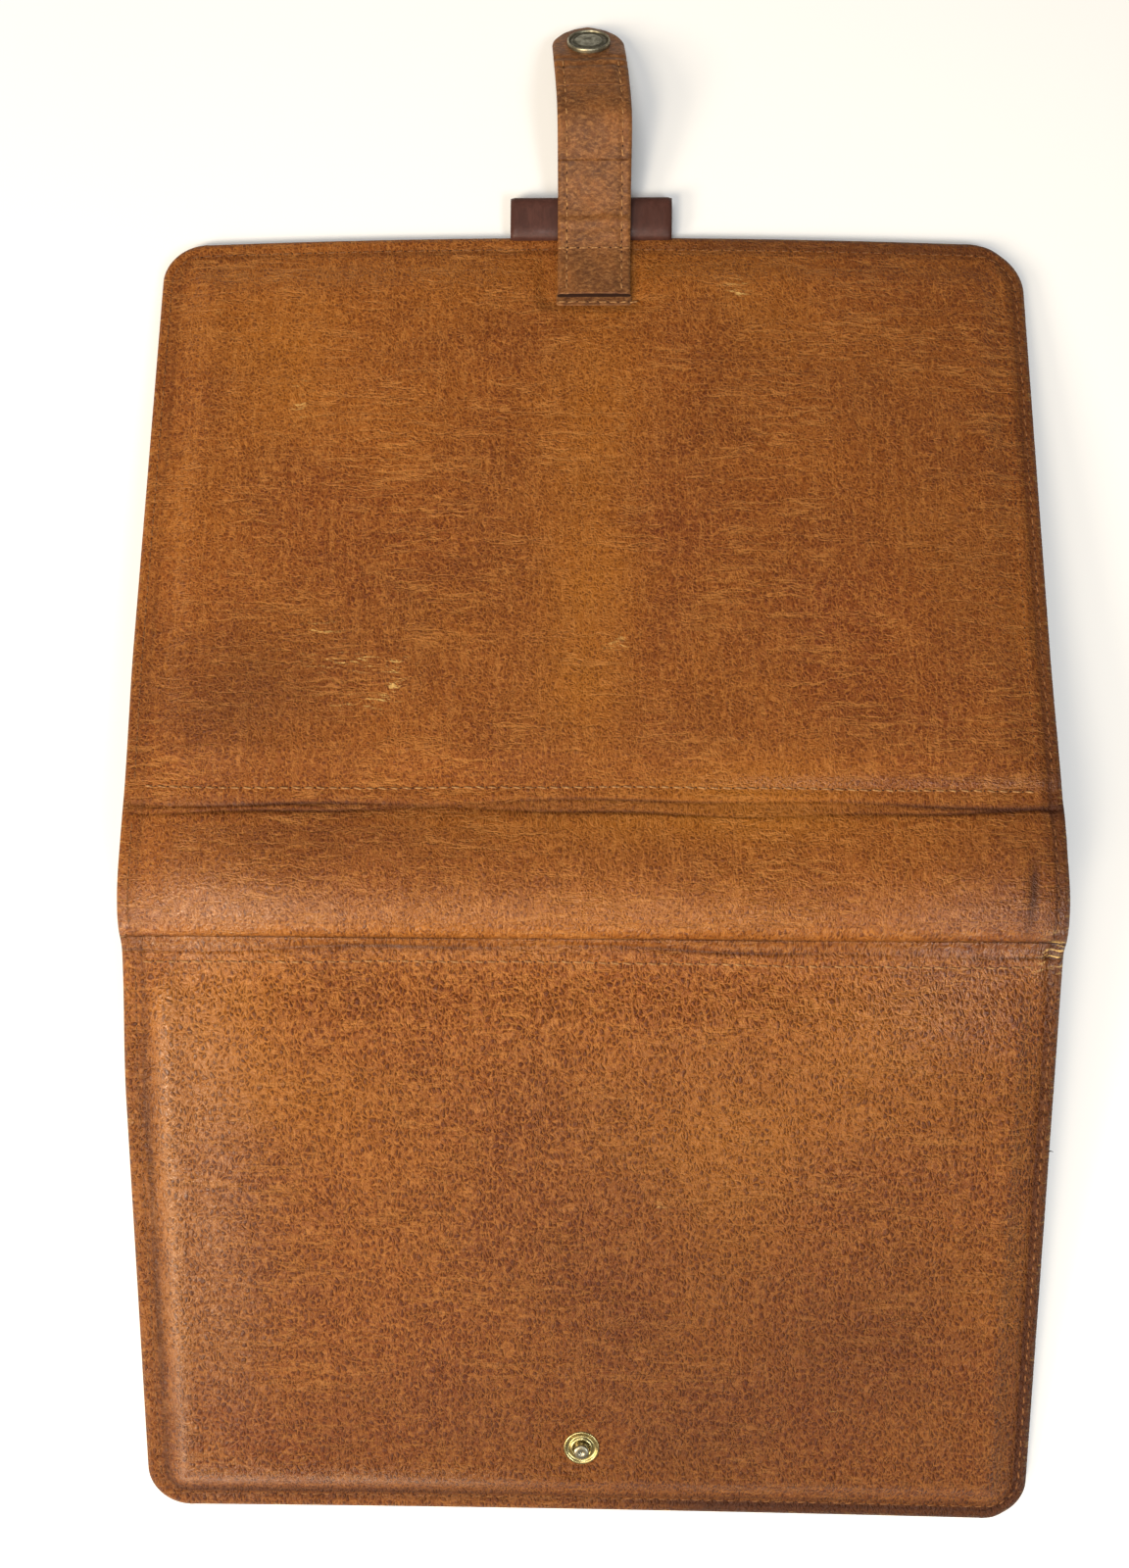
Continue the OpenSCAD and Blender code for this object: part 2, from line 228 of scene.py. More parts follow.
def crease_detail(x, along):
    """How far the two creases sink: a soft valley each, with fine wrinkles in it."""
    depth = np.zeros_like(x)
    for side, valley in ((1, 0.45), (-1, 0.70)):
        w = side * along - HALF_SPINE
        first, second = crease_lines(side, x)
        depth += valley * bell(w, 0, 2.2)
        depth += (0.32 + 0.10 * np.sin(x / 19)) * bell(w, first, 0.45)
        depth += (0.30 + 0.10 * np.sin(x / 15 + 1)) * bell(w, second, 0.42)
    return depth * smooth(HALF_W, HALF_W - 3, np.abs(x))


def hide_rows(side):
    """Distances along the unfolded hide, closer together at the crease and round the corners."""
    step, fine = 0.85, 0.3
    spine = np.arange(0, HALF_SPINE - 4, step)
    crease = np.arange(HALF_SPINE - 4, HALF_SPINE + 6.5, fine)
    r = max(CORNER_LEFT, CORNER_RIGHT[side])
    cover = np.arange(HALF_SPINE + 6.5, HALF_SPINE + COVER_D - r, step)
    corner = HALF_SPINE + COVER_D - r + r * np.sin(np.linspace(0, math.pi / 2, 26))
    return np.concatenate([spine, crease, cover[:-1], corner])


def half_widths(side, v):
    """How far the outline reaches to -X and to +X at each row."""
    u = v - HALF_SPINE
    out = []
    for r in (CORNER_LEFT, CORNER_RIGHT[side]):
        t = np.clip(u - (COVER_D - r), 0, r)
        out.append(HALF_W - (r - np.sqrt(r * r - t * t)))
    return out


class Surface:
    """One hide's outer surface as a grid of rows along X, that other pieces are laid on."""

    def __init__(self, side, v, x, point, normal):
        self.side, self.v, self.x = side, v, x
        self.left, self.right = -x[:, 0], x[:, -1]
        self.s = np.linspace(0, 1, x.shape[1])
        self.flat_v = np.broadcast_to(v[:, None], x.shape)
        self.point, self.normal = point, normal

    def thinned(self, step):
        """The same surface with fewer rows and columns."""
        i, j = (np.unique(np.r_[0:count:step, count - 1]) for count in self.x.shape)
        pick = np.ix_(i, j)
        return Surface(self.side, self.v[i], self.x[pick], self.point[pick], self.normal[pick])

    def at(self, x, v):
        """Point and normal at a place on the unfolded hide."""
        i = int(np.clip(np.searchsorted(self.v, v) - 1, 0, len(self.v) - 2))
        f = float(np.clip((v - self.v[i]) / (self.v[i + 1] - self.v[i]), 0, 1))
        left = self.left[i] * (1 - f) + self.left[i + 1] * f
        right = self.right[i] * (1 - f) + self.right[i + 1] * f
        g = float(np.clip((x + left) / (left + right), 0, 1)) * (len(self.s) - 1)
        j = min(int(g), len(self.s) - 2)
        g -= j
        out = []
        for a in (self.point, self.normal):
            top = a[i, j] * (1 - g) + a[i, j + 1] * g
            low = a[i + 1, j] * (1 - g) + a[i + 1, j + 1] * g
            out.append(top * (1 - f) + low * f)
        return out


def grid_normals(point):
    n = np.cross(np.gradient(point, axis=1), np.gradient(point, axis=0))
    return n / np.linalg.norm(n, axis=-1, keepdims=True)


def hide_surfaces(columns=293):
    """The whole outer surface in one grid, parted in a wrinkle of the front crease."""
    halves = []
    for side in (1, -1):
        v = hide_rows(side)
        left, right = half_widths(side, v)
        x = -left[:, None] + (left + right)[:, None] * np.linspace(0, 1, columns)[None, :]
        flat_v = np.broadcast_to(v[:, None], x.shape)
        u = flat_v - HALF_SPINE
        h = np.where(u > 0, cover_height(side, x, np.maximum(u, 0)), spine_height(side, x, flat_v))
        halves.append((v, x, lay(side, x, flat_v, h)))
    (back_v, back_x, back_p), (front_v, front_x, front_p) = halves
    along = np.concatenate([-front_v[:0:-1], back_v])
    x = np.concatenate([front_x[:0:-1], back_x])
    point = np.concatenate([front_p[:0:-1], back_p])
    near = smooth(7, 3, np.abs(np.abs(along) - HALF_SPINE))[1:-1, None, None]
    for _ in range(26):
        point[1:-1] += near * (0.25 * (point[:-2] + point[2:]) - 0.5 * point[1:-1])
    flat = np.broadcast_to(along[:, None], x.shape)
    point -= grid_normals(point) * crease_detail(x, flat)[..., None]
    normal = grid_normals(point)
    cut = int(np.argmin(np.abs(along + HALF_SPINE + PARTING)))
    return (Surface(1, along[cut:], x[cut:], point[cut:], normal[cut:]),
            Surface(-1, -along[cut::-1], x[cut::-1], point[cut::-1], normal[cut::-1]))


# ---------------------------------------------------------------- mesh helpers
def new_mesh(name, points, faces, materials, face_materials=None, is_smooth=True):
    """A mesh object from points in millimetres."""
    mesh = bpy.data.meshes.new(name)
    mesh.from_pydata((np.asarray(points, float) * MM).tolist(), [], faces)
    for m in materials:
        mesh.materials.append(m)
    if face_materials is not None:
        mesh.polygons.foreach_set("material_index", np.asarray(face_materials, np.int32))
    mesh.polygons.foreach_set("use_smooth", [is_smooth] * len(mesh.polygons))
    mesh.validate()
    mesh.update()
    obj = bpy.data.objects.new(name, mesh)
    bpy.context.scene.collection.objects.link(obj)
    fix_normals(obj)
    return obj


def fix_normals(obj):
    bm = bmesh.new()
    bm.from_mesh(obj.data)
    bmesh.ops.recalc_face_normals(bm, faces=bm.faces)
    bm.to_mesh(obj.data)
    bm.free()


def add_attribute(obj, name, kind, values):
    """A value stored on each point: FLOAT_VECTOR or FLOAT_COLOR."""
    attribute = obj.data.attributes.new(name, kind, "POINT")
    key = "vector" if kind == "FLOAT_VECTOR" else "color"
    attribute.data.foreach_set(key, np.asarray(values, np.float32).ravel())


def grid_faces(rows, columns, start=0, wrap=False):
    faces = []
    for i in range(rows - 1):
        for j in range(columns if wrap else columns - 1):
            a, b = start + i * columns + j, start + i * columns + (j + 1) % columns
            faces.append((a, b, b + columns, a + columns))
    return faces


def capped_rings(rings, around, start=0):
    """The faces of a stack of rings, closed at both ends."""
    last = start + (rings - 1) * around
    ends = [tuple(range(start, start + around)), tuple(range(last, last + around))]
    return grid_faces(rings, around, start, wrap=True) + ends


def lengths_along(points):
    """The distance along a line of points to each of them."""
    return np.concatenate([[0], np.cumsum(np.linalg.norm(np.diff(points, axis=0), axis=1))])


def lathe(name, profile, origin, axes, material, segments=96):
    """A turned piece: profile is (radius, height) pairs, axes are its x, y and turning directions."""
    ax, ay, az = axes
    points = []
    for r, h in profile:
        for k in range(segments):
            a = 2 * math.pi * k / segments
            points.append(origin + ax * r * math.cos(a) + ay * r * math.sin(a) + az * h)
    return new_mesh(name, points, capped_rings(len(profile), segments), [material])


def rounded(corners, radius, steps=5):
    """An open or closed line of (a, b) corners, with each inner corner rounded."""
    pts = [np.array(corners[0], float)]
    for p, q, r in zip(corners, corners[1:], corners[2:]):
        p, q, r = (np.array(t, float) for t in (p, q, r))
        da, db = np.linalg.norm(p - q), np.linalg.norm(r - q)
        cut = min(radius, 0.48 * da, 0.48 * db)
        a, b = q + (p - q) / da * cut, q + (r - q) / db * cut
        for t in np.linspace(0, 1, steps):
            pts.append((1 - t) ** 2 * a + 2 * t * (1 - t) * q + t * t * b)
    pts.append(np.array(corners[-1], float))
    return [(float(p[0]), float(p[1])) for p in pts]


# ---------------------------------------------------------------- materials
class Nodes:
    """Short forms for building a material's node tree."""

    def __init__(self, name):
        self.material = bpy.data.materials.new(name)
        self.material.use_nodes = True
        self.tree = self.material.node_tree
        self.shader = self.tree.nodes["Principled BSDF"]

    def fill(self, socket, value):
        """Links a socket to another node's output, or gives it a plain value."""
        if isinstance(value, bpy.types.NodeSocket):
            self.tree.links.new(value, socket)
        else:
            socket.default_value = value

    def add(self, kind, inputs=None, **settings):
        node = self.tree.nodes.new(kind)
        for key, value in settings.items():
            setattr(node, key, value)
        for key, value in (inputs or {}).items():
            self.fill(node.inputs[key], value)
        return node

    def set(self, **values):
        for key, value in values.items():
            self.fill(self.shader.inputs[key.replace("_", " ")], value)

    def attribute(self, name):
        return self.add("ShaderNodeAttribute", attribute_name=name)

    def math(self, operation, a, b=0.0, c=0.0, clamp=False):
        node = self.add("ShaderNodeMath", {0: a, 1: b, 2: c}, operation=operation)
        node.use_clamp = clamp
        return node.outputs[0]

    def times(self, a, b, clamp=False):
        return self.math("MULTIPLY", a, b, clamp=clamp)

    def plus(self, a, b):
        return self.math("ADD", a, b)

    def minus(self, a, b):
        return self.math("SUBTRACT", a, b)

    def from_middle(self, value):
        """How far a noise value is from its middle, either way."""
        return self.math("ABSOLUTE", self.minus(value, 0.5))

    def vector(self, operation, a, b):
        return self.add("ShaderNodeVectorMath", {0: a, 1: b}, operation=operation).outputs[0]

    def ramp(self, value, low, high, out_low=0.0, out_high=1.0):
        inputs = {"Value": value, "From Min": low, "From Max": high, "To Min": out_low, "To Max": out_high}
        node = self.add("ShaderNodeMapRange", inputs, interpolation_type="SMOOTHSTEP")
        return node.outputs["Result"]

    def noise(self, vector, scale, detail=4.0, roughness=0.55, colour=False):
        inputs = {"Vector": vector, "Scale": scale, "Detail": detail, "Roughness": roughness}
        node = self.add("ShaderNodeTexNoise", inputs)
        return node.outputs["Color" if colour else "Fac"]

    def cells(self, vector, scale):
        """Distance to the nearest edge between two Voronoi cells."""
        node = self.add("ShaderNodeTexVoronoi", feature="DISTANCE_TO_EDGE")
        self.fill(node.inputs["Vector"], vector)
        self.fill(node.inputs["Scale"], scale)
        return node.outputs["Distance"]

    def stretch(self, vector, scale, angle=0.0):
        inputs = {"Vector": vector, "Scale": scale, "Rotation": (0, 0, angle)}
        return self.add("ShaderNodeMapping", inputs).outputs["Vector"]

    def mix(self, factor, a, b):
        """A colour between a and b, each a socket or a plain (red, green, blue)."""
        node = self.add("ShaderNodeMix", data_type="RGBA")
        self.fill(node.inputs[0], factor)
        for index, value in ((6, a), (7, b)):
            self.fill(node.inputs[index], (*value, 1.0) if isinstance(value, tuple) else value)
        return node.outputs[2]

    def bump(self, height, distance, strength=1.0):
        inputs = {"Height": height, "Distance": distance, "Strength": strength}
        return self.add("ShaderNodeBump", inputs).outputs["Normal"]


def hide_material():
    """Worn tan full-grain leather: dark pebbles, a light crease network, patina, scuffs and streaks, with
    painted shade and a painted highlight carried in its tone.
    """
    n = Nodes("tan_leather")
    flat = n.attribute("flat").outputs["Vector"]
    tone = n.add("ShaderNodeSeparateColor", {0: n.attribute("tone").outputs["Color"]})
    wear = n.add("ShaderNodeSeparateColor", {0: n.attribute("wear").outputs["Color"]})
    dark, red, amber = tone.outputs
    scuff, gloss, pebbly = wear.outputs

    def shaken(scale, reach, base):
        offset = n.vector("SUBTRACT", n.noise(flat, scale, 3, colour=True), (0.5, 0.5, 0.5))
        return n.vector("ADD", base, n.vector("MULTIPLY", offset, (reach, reach, 0)))

    def fine_lines(vector, scale, angle, width, low, high):
        """Long thin lines where stretched noise crosses its middle, in some areas only."""
        field = n.noise(n.stretch(vector, scale, math.radians(angle)), 1.0, 3, 0.6)
        line = n.ramp(n.from_middle(field), 0.0, width, 1.0, 0.0)
        return n.times(line, n.ramp(n.noise(flat, 0.03, 3), low, high))

    bent = shaken(0.16, 3.0, flat)
    fine_bent = shaken(0.9, 0.7, bent)
    long_cells = n.cells(n.stretch(fine_bent, (1.0, 0.62, 1.0), 0.08), 0.86)
    fine_cells = n.cells(n.stretch(fine_bent, (0.95, 0.88, 1.0)), 1.0)
    cell = n.add("ShaderNodeMix", {0: pebbly, 2: fine_cells, 3: long_cells}).outputs[0]
    soft_cell = n.ramp(cell, 0.0, 0.36, 1.0, 0.0)
    wriggle = n.noise(n.stretch(bent, (1.0, 0.66, 1.0), 0.1), 0.66, 2, 0.5)
    wriggle = n.ramp(n.from_middle(wriggle), 0.0, 0.085, 1.0, 0.0)
    crumb = n.noise(n.stretch(fine_bent, (1.0, 0.7, 1.0)), 1.5, 3, 0.6)
    grain = n.math("MULTIPLY_ADD", soft_cell, 0.50, n.times(wriggle, 0.26))
    grain = n.plus(grain, n.times(n.minus(crumb, 0.5), 0.9))
    network = n.ramp(grain, 0.30, 0.72)
    core = n.ramp(grain, 0.10, 0.42, 1.0, 0.0)
    tiny = n.cells(fine_bent, 2.6)
    speckle = n.noise(bent, 0.30, 3, 0.6)

    patina = n.noise(flat, 0.020, 4, 0.6)
    mottle = n.noise(bent, 0.11, 4, 0.6)
    base = n.mix(n.ramp(patina, 0.35, 0.65), (0.172, 0.041, 0.0045), (0.250, 0.066, 0.0065))
    # The amber channel holds random patches and a painted highlight on the left-hand crest.
    base = n.mix(amber, base, (0.42, 0.140, 0.008))
    base = n.mix(red, base, (0.185, 0.032, 0.006))
    base = n.mix(n.times(n.ramp(mottle, 0.35, 0.7), 0.30), base, (0.31, 0.092, 0.012))
    depth = n.times(core, n.ramp(speckle, 0.30, 0.60, 0.60, 1.0))
    depth = n.times(depth, n.math("MULTIPLY_ADD", pebbly, 0.20, 0.54))
    base = n.mix(depth, base, (0.072, 0.0125, 0.0022))
    lines = n.times(network, n.ramp(n.noise(bent, 0.60, 3), 0.36, 0.62, 0.20, 1.0))
    lines = n.times(lines, n.math("MULTIPLY_ADD", pebbly, 0.12, 0.55))
    base = n.mix(lines, base, (0.54, 0.205, 0.040))
    long_marks = fine_lines(bent, (0.022, 0.22, 1.0), 32, 0.022, 0.40, 0.56)
    shallow = fine_lines(bent, (0.020, 0.17, 1.0), 12, 0.016, 0.40, 0.60)
    upright = fine_lines(bent, (0.45, 0.035, 1.0), 4, 0.025, 0.62, 0.46)
    for marks, strength in ((long_marks, 0.60), (shallow, 0.40), (upright, 0.42)):
        base = n.mix(n.times(marks, strength), base, (0.52, 0.205, 0.045))
    streak = n.noise(n.stretch(bent, (1.2, 0.10, 1.0), 0.05), 1.0, 4, 0.6)
    base = n.mix(n.times(n.ramp(streak, 0.55, 0.72), 0.24), base, (0.42, 0.148, 0.026))
    # The dark channel holds patches, a stain, and painted shade in the grooves and creases.
    base = n.mix(dark, base, (0.062, 0.017, 0.005))
    scratch = n.noise(n.stretch(bent, (0.16, 0.9, 1.0), math.radians(12)), 1.0, 4, 0.75)
    scuffed = n.times(scuff, n.ramp(scratch, 0.55, 0.63), clamp=True)
    base = n.mix(scuffed, base, (0.80, 0.50, 0.16))
    n.set(Base_Color=base)

    rough = n.ramp(cell, 0.0, 0.3, 0.64, 0.50)
    rough = n.minus(rough, n.times(gloss, 0.16))
    rough = n.plus(rough, n.times(n.minus(mottle, 0.5), 0.16))
    n.set(Roughness=rough, Specular_IOR_Level=0.20)
    raised = n.times(n.minus(1.0, soft_cell), n.math("MULTIPLY_ADD", pebbly, 0.6, 0.35))
    raised = n.minus(raised, n.times(wriggle, 0.25))
    raised = n.plus(raised, n.times(n.ramp(tiny, 0.0, 0.3), 0.16))
    raised = n.plus(raised, n.times(n.noise(fine_bent, 2.6, 3), 0.20))
    raised = n.minus(raised, n.times(long_marks, 0.35))
    relief = n.bump(raised, 0.00040, 1.0)
    n.set(Normal=relief, Coat_Normal=n.bump(raised, 0.00030, 0.8))
    n.set(Coat_Weight=n.math("MULTIPLY_ADD", gloss, 0.85, 0.03), Coat_Roughness=0.25, Coat_IOR=1.5)
    return n.material


def leather_material(name, deep, body, pale, grain=1.0, rough=0.55, relief=0.00012, lines=0.35):
    """Plainer leather for the straps, linings and loop, in the piece's own millimetres."""
    n = Nodes(name)
    flat = n.attribute("flat").outputs["Vector"]
    warp = n.vector("MULTIPLY", n.vector("SUBTRACT", n.noise(flat, 0.5, 3, colour=True), (0.5, 0.5, 0.5)),
                    (1.6, 1.6, 1.6))
    bent = n.vector("ADD", flat, warp)
    crumb = n.noise(bent, grain, 4, 0.65)
    blotch = n.noise(bent, 0.22, 4, 0.6)
    patina = n.noise(flat, 0.06, 4, 0.6)
    fibre = n.noise(n.stretch(bent, (0.55, 1.25, 1.0), 0.7), 1.0, 5, 0.75)
    colour = n.mix(n.ramp(patina, 0.32, 0.68), deep, body)
    colour = n.mix(n.times(n.ramp(blotch, 0.44, 0.70), 0.65), colour, deep)
    colour = n.mix(n.times(n.ramp(crumb, 0.36, 0.60, 1.0, 0.0), 0.6), colour, deep)
    colour = n.mix(n.times(n.ramp(fibre, 0.40, 0.74), lines), colour, pale)
    n.set(Base_Color=colour, Specular_IOR_Level=0.3)
    n.set(Roughness=n.ramp(n.noise(bent, 0.3, 4), 0.3, 0.7, rough + 0.08, rough - 0.10))
    height = n.plus(n.times(crumb, 0.7), n.times(fibre, 0.5))
    n.set(Normal=n.bump(height, relief, 0.8))
    return n.material


def thread_material(name, light, dark):
    n = Nodes(name)
    where = n.add("ShaderNodeTexCoord").outputs["Object"]
    twist = n.noise(where, 1400.0, 3)
    wear = n.noise(where, 90.0, 4)
    colour = n.mix(n.ramp(twist, 0.35, 0.7), dark, light)
    colour = n.mix(n.times(n.ramp(wear, 0.5, 0.75), 0.6), colour, dark)
    n.set(Base_Color=colour, Roughness=0.72, Specular_IOR_Level=0.25)
    n.set(Normal=n.bump(twist, 0.00008, 0.7))
    return n.material


def metal_material(name, bright, tarnish, amount, rough):
    """Brass, with tarnish in patches and fine turning marks."""
    n = Nodes(name)
    where = n.add("ShaderNodeTexCoord").outputs["Object"]
    patches = n.noise(where, 520.0, 5, 0.65)
    marks = n.noise(where, 2600.0, 3)
    colour = n.mix(n.ramp(patches, amount - 0.12, amount + 0.12), bright, tarnish)
    n.set(Base_Color=colour, Metallic=1.0)
    n.set(Roughness=n.ramp(patches, 0.3, 0.7, rough, rough + 0.22))
    n.set(Normal=n.bump(n.plus(patches, n.times(marks, 0.5)), 0.00003, 0.5))
    return n.material


def plain_material(name, colour, rough, variation=0.2, scale=400.0):
    n = Nodes(name)
    where = n.add("ShaderNodeTexCoord").outputs["Object"]
    grain = n.noise(where, scale, 4)
    low = tuple(c * (1 - variation) for c in colour)
    high = tuple(min(1.0, c * (1 + variation)) for c in colour)
    n.set(Base_Color=n.mix(n.ramp(grain, 0.3, 0.7), low, high), Roughness=rough, Specular_IOR_Level=0.3)
    n.set(Normal=n.bump(grain, 0.00005, 0.4))
    return n.material


TAN = hide_material()
EDGE = plain_material("edge_paint", (0.030, 0.014, 0.010), 0.42)
STRAP = leather_material("strap_leather", (0.088, 0.030, 0.009), (0.270, 0.092, 0.020), (0.52, 0.235, 0.075),
                         grain=1.2, rough=0.56, relief=0.00030, lines=0.60)
STRAP_LINING = leather_material("strap_lining", (0.030, 0.014, 0.010), (0.060, 0.028, 0.018),
                                (0.10, 0.05, 0.03), grain=1.4, rough=0.6)
LINING = leather_material("lining_leather", (0.045, 0.017, 0.012), (0.085, 0.032, 0.020),
                          (0.13, 0.055, 0.035), grain=1.1, rough=0.52, relief=0.00010, lines=0.2)
LOOP = leather_material("loop_leather", (0.055, 0.020, 0.014), (0.095, 0.034, 0.024), (0.15, 0.06, 0.04),
                        grain=1.1, rough=0.5, relief=0.00005, lines=0.08)
THREAD = thread_material("thread", (0.50, 0.26, 0.095), (0.24, 0.105, 0.038))
MARGIN_THREAD = thread_material("margin_thread", (0.30, 0.125, 0.040), (0.13, 0.048, 0.016))
# Painted shade: near-black discs that stand for the shade inside the stitch holes.
HOLE_SHADE = plain_material("stitch_hole_shade", (0.045, 0.016, 0.007), 0.8)
DARK_THREAD = thread_material("dark_thread", (0.05, 0.03, 0.02), (0.02, 0.012, 0.01))
BOARD = plain_material("board", (0.16, 0.11, 0.075), 0.85)
FOAM = plain_material("foam", (0.55, 0.50, 0.40), 0.9)
OLD_BRASS = metal_material("old_brass", (0.40, 0.36, 0.25), (0.20, 0.18, 0.12), 0.52, 0.36)
CAP_RECESS = metal_material("cap_recess", (0.26, 0.235, 0.165), (0.13, 0.12, 0.085), 0.48, 0.45)
# Painted shade: near-black metal that stands for the shade in the cap's central dimple.
DIMPLE_SHADE = plain_material("dimple_shade", (0.035, 0.030, 0.020), 0.8)
CAP_PLATEAU = metal_material("cap_plateau", (0.40, 0.385, 0.29), (0.24, 0.225, 0.165), 0.5, 0.42)
BRASS = metal_material("brass", (0.62, 0.50, 0.22), (0.34, 0.27, 0.11), 0.52, 0.22)
BALL = metal_material("snap_ball", (0.42, 0.38, 0.28), (0.24, 0.21, 0.14), 0.5, 0.28)


# ---------------------------------------------------------------- patina: soft patches on the unfolded hide
# Each is (side, x, distance along the hide from the spine's middle, reach in x, reach along, strength)
DARK_PATCHES = [
    (1, -92, 48, 26, 22, 0.34), (1, -60, 10, 45, 9, 0.30), (1, 104, 82, 14, 24, 0.16),
    (1, 118, 18, 16, 40, 0.16), (1, -20, 70, 60, 50, 0.08), (1, 85, 150, 40, 50, 0.10),
    (-1, 8, 108, 30, 38, 0.18), (-1, 70, 128, 34, 26, 0.20), (-1, -60, 160, 40, 20, 0.12),
    (-1, 20, 165, 50, 22, 0.16), (1, 0, 183, 16, 20, 0.22), (1, 30, 40, 70, 24, 0.06),
]
RED_PATCHES = [
    (1, 62, 66, 34, 22, 0.42), (1, 24, 92, 18, 14, 0.30), (1, -70, 105, 30, 30, 0.22),
    (-1, -66, 158, 40, 22, 0.45), (-1, -100, 168, 24, 26, 0.40), (-1, 70, 140, 36, 30, 0.42),
    (-1, -10, 120, 40, 40, 0.25), (1, 90, 30, 30, 14, 0.22),
]
AMBER_PATCHES = [
    (1, 2, 96, 14, 60, 0.42), (1, 0, 50, 14, 30, 0.35), (1, 42, 22, 26, 10, 0.62), (1, 0, 14, 70, 6, 0.34),
    (-1, 44, 62, 34, 22, 0.52), (-1, 80, 40, 24, 18, 0.38), (-1, -100, 44, 20, 30, 0.55),
    (-1, -70, 60, 30, 24, 0.30), (1, -80, 150, 40, 30, 0.34), (1, 30, 170, 50, 16, 0.30),
    (-1, 30, 90, 26, 30, 0.34), (1, 60, 28, 16, 20, 0.3), (-1, 100, 110, 22, 40, 0.15),
    (-1, -112, 120, 12, 60, 0.30), (-1, 0, 12, 110, 8, 0.42),
]
SCUFF_PATCHES = [
    (1, -64, 57, 12, 2.2, 1.0), (1, -61, 46, 9, 1.8, 1.0), (1, -74, 66, 6, 2.0, 0.7),
    (1, 42, 167, 3, 5, 0.8), (1, -82, 134, 2.5, 5, 0.7), (1, -53, 52, 3, 6, 0.8), (-1, 121, 20, 4, 5, 1.0),
    (-1, 70, 150, 1.6, 1.6, 0.8), (1, 8, 62, 3, 2, 0.7), (-1, 20, 90, 1.4, 1.4, 0.6),
]
GLOSS_PATCHES = [
    (-1, -100, 10, 30, 10, 0.8), (-1, 110, 12, 24, 12, 0.9), (-1, 96, 32, 26, 14, 0.6),
    (-1, -104, 80, 14, 80, 0.6), (-1, 50, 60, 60, 40, 0.12), (-1, 0, 12, 120, 9, 0.5),
]


def patches(table, side, x, v):
    """The sum of a table's soft patches, on both sides of the spine's middle."""
    total = np.zeros_like(x)
    along = side * v
    for where, px, pv, rx, rv, strength in table:
        total += strength * np.exp(-((x - px) / rx) ** 2 - ((along - where * pv) / rv) ** 2)
    return np.clip(total, 0, 1)


def paint_hide(obj, side, x, v):
    """Stores the unfolded place, the patina, and painted shade and highlight on each point of a hide piece.
    """
    flat = np.stack([x, side * v, np.zeros_like(x)], -1)
    add_attribute(obj, "flat", "FLOAT_VECTOR", flat)
    rolling = 0.10 * np.clip(waves(x, side * v, 60, 21), -1, 1)
    u = np.maximum(v - HALF_SPINE, 0)
    rim = np.where(v > HALF_SPINE, edge_distance(side, x, u), HALF_W - np.abs(x))
    dark = patches(DARK_PATCHES, side, x, v) + 0.42 * smooth(4.4, 3.2, rim) * smooth(0, 40, x)
    # Painted shade: dark lines in the groove at the pad's foot and in the seam groove by the edge.
    dark += 0.30 * bell(rim, 5.1, 0.8) * (0.8 + 0.3 * np.sin(v / 9)) + 0.22 * bell(rim, 3.2, 0.7)
    # Darker within 3 mm of the edge and towards the front cover's free edge; painted shade darker towards
    # +X, away from the lights on the left.
    dark += 0.10 * smooth(3.0, 0.4, rim) + 0.10 * smooth(-60, 120, x) + 0.12 * smooth(-60, -180, side * v)
    # Painted shade: darker along each crease and along its two fine wrinkles.
    for crease in (1, -1):
        w = crease * side * v - HALF_SPINE
        dark += 0.22 * bell(w, 0, 1.7)
        for line, width, strength in zip(crease_lines(crease, x), (0.42, 0.36), (0.6, 0.55)):
            dark += strength * bell(w, line, width) * (0.6 + 0.4 * np.sin(x / 14 + crease))
    dark += 0.75 * np.exp(-((x - STAIN_X - side * v * 0.10) / 1.3) ** 2 - ((side * v + 3) / 9) ** 2)
    dark += 0.20 * smooth(-24, -60, side * v)
    # Painted highlight: a lighter amber band, with a heavier coat, along the padded crest by the left-hand
    # edges, where the light from the left falls on it.
    fade = smooth(8, 16, u) if side < 0 else 0.3 * smooth(8, 30, u)
    crest_highlight = bell(rim, 11.2, 3.0) * smooth(0, -60, x) * fade
    # Painted shade at the foot of the pad along the front cover's left-hand edges.
    dark += 0.30 * bell(rim, 6.0, 1.4) * smooth(0, -60, x) * smooth(-10, -40, side * v)
    red = patches(RED_PATCHES, side, x, v) + rolling
    amber = patches(AMBER_PATCHES, side, x, v) - rolling + 0.75 * crest_highlight
    tone = np.stack([dark, red, amber, np.ones_like(x)], -1)
    add_attribute(obj, "tone", "FLOAT_COLOR", np.clip(tone, 0, 1))
    front = smooth(10, -34, side * v)
    gloss = patches(GLOSS_PATCHES, side, x, v) + 0.05 * front + 0.7 * crest_highlight
    gloss += 0.7 * bell(side * v, HALF_SPINE + SEAM_U + 1.8, 1.6) * smooth(20, 60, x)
    scuff = patches(SCUFF_PATCHES, side, x, v) + 0.28 * smooth(1.6, 0.3, rim)
    wear = np.stack([scuff, gloss, front, np.ones_like(x)], -1)
    add_attribute(obj, "wear", "FLOAT_COLOR", np.clip(wear, 0, 1))


# ---------------------------------------------------------------- covers and spine
def outward(side, x, v):
    """Unit direction out of the outline in the cover's plane, as (along X, along the unfolded hide)."""
    u = v - HALF_SPINE
    r = CORNER_LEFT if x < 0 else CORNER_RIGHT[side]
    qx, qu = abs(x) - (HALF_W - r), u - (COVER_D - r)
    if qx > 0 and qu > 0:
        size = math.hypot(qx, qu)
        return math.copysign(qx / size, x), qu / size
    return (math.copysign(1.0, x), 0.0) if qu <= 0 else (0.0, 1.0)


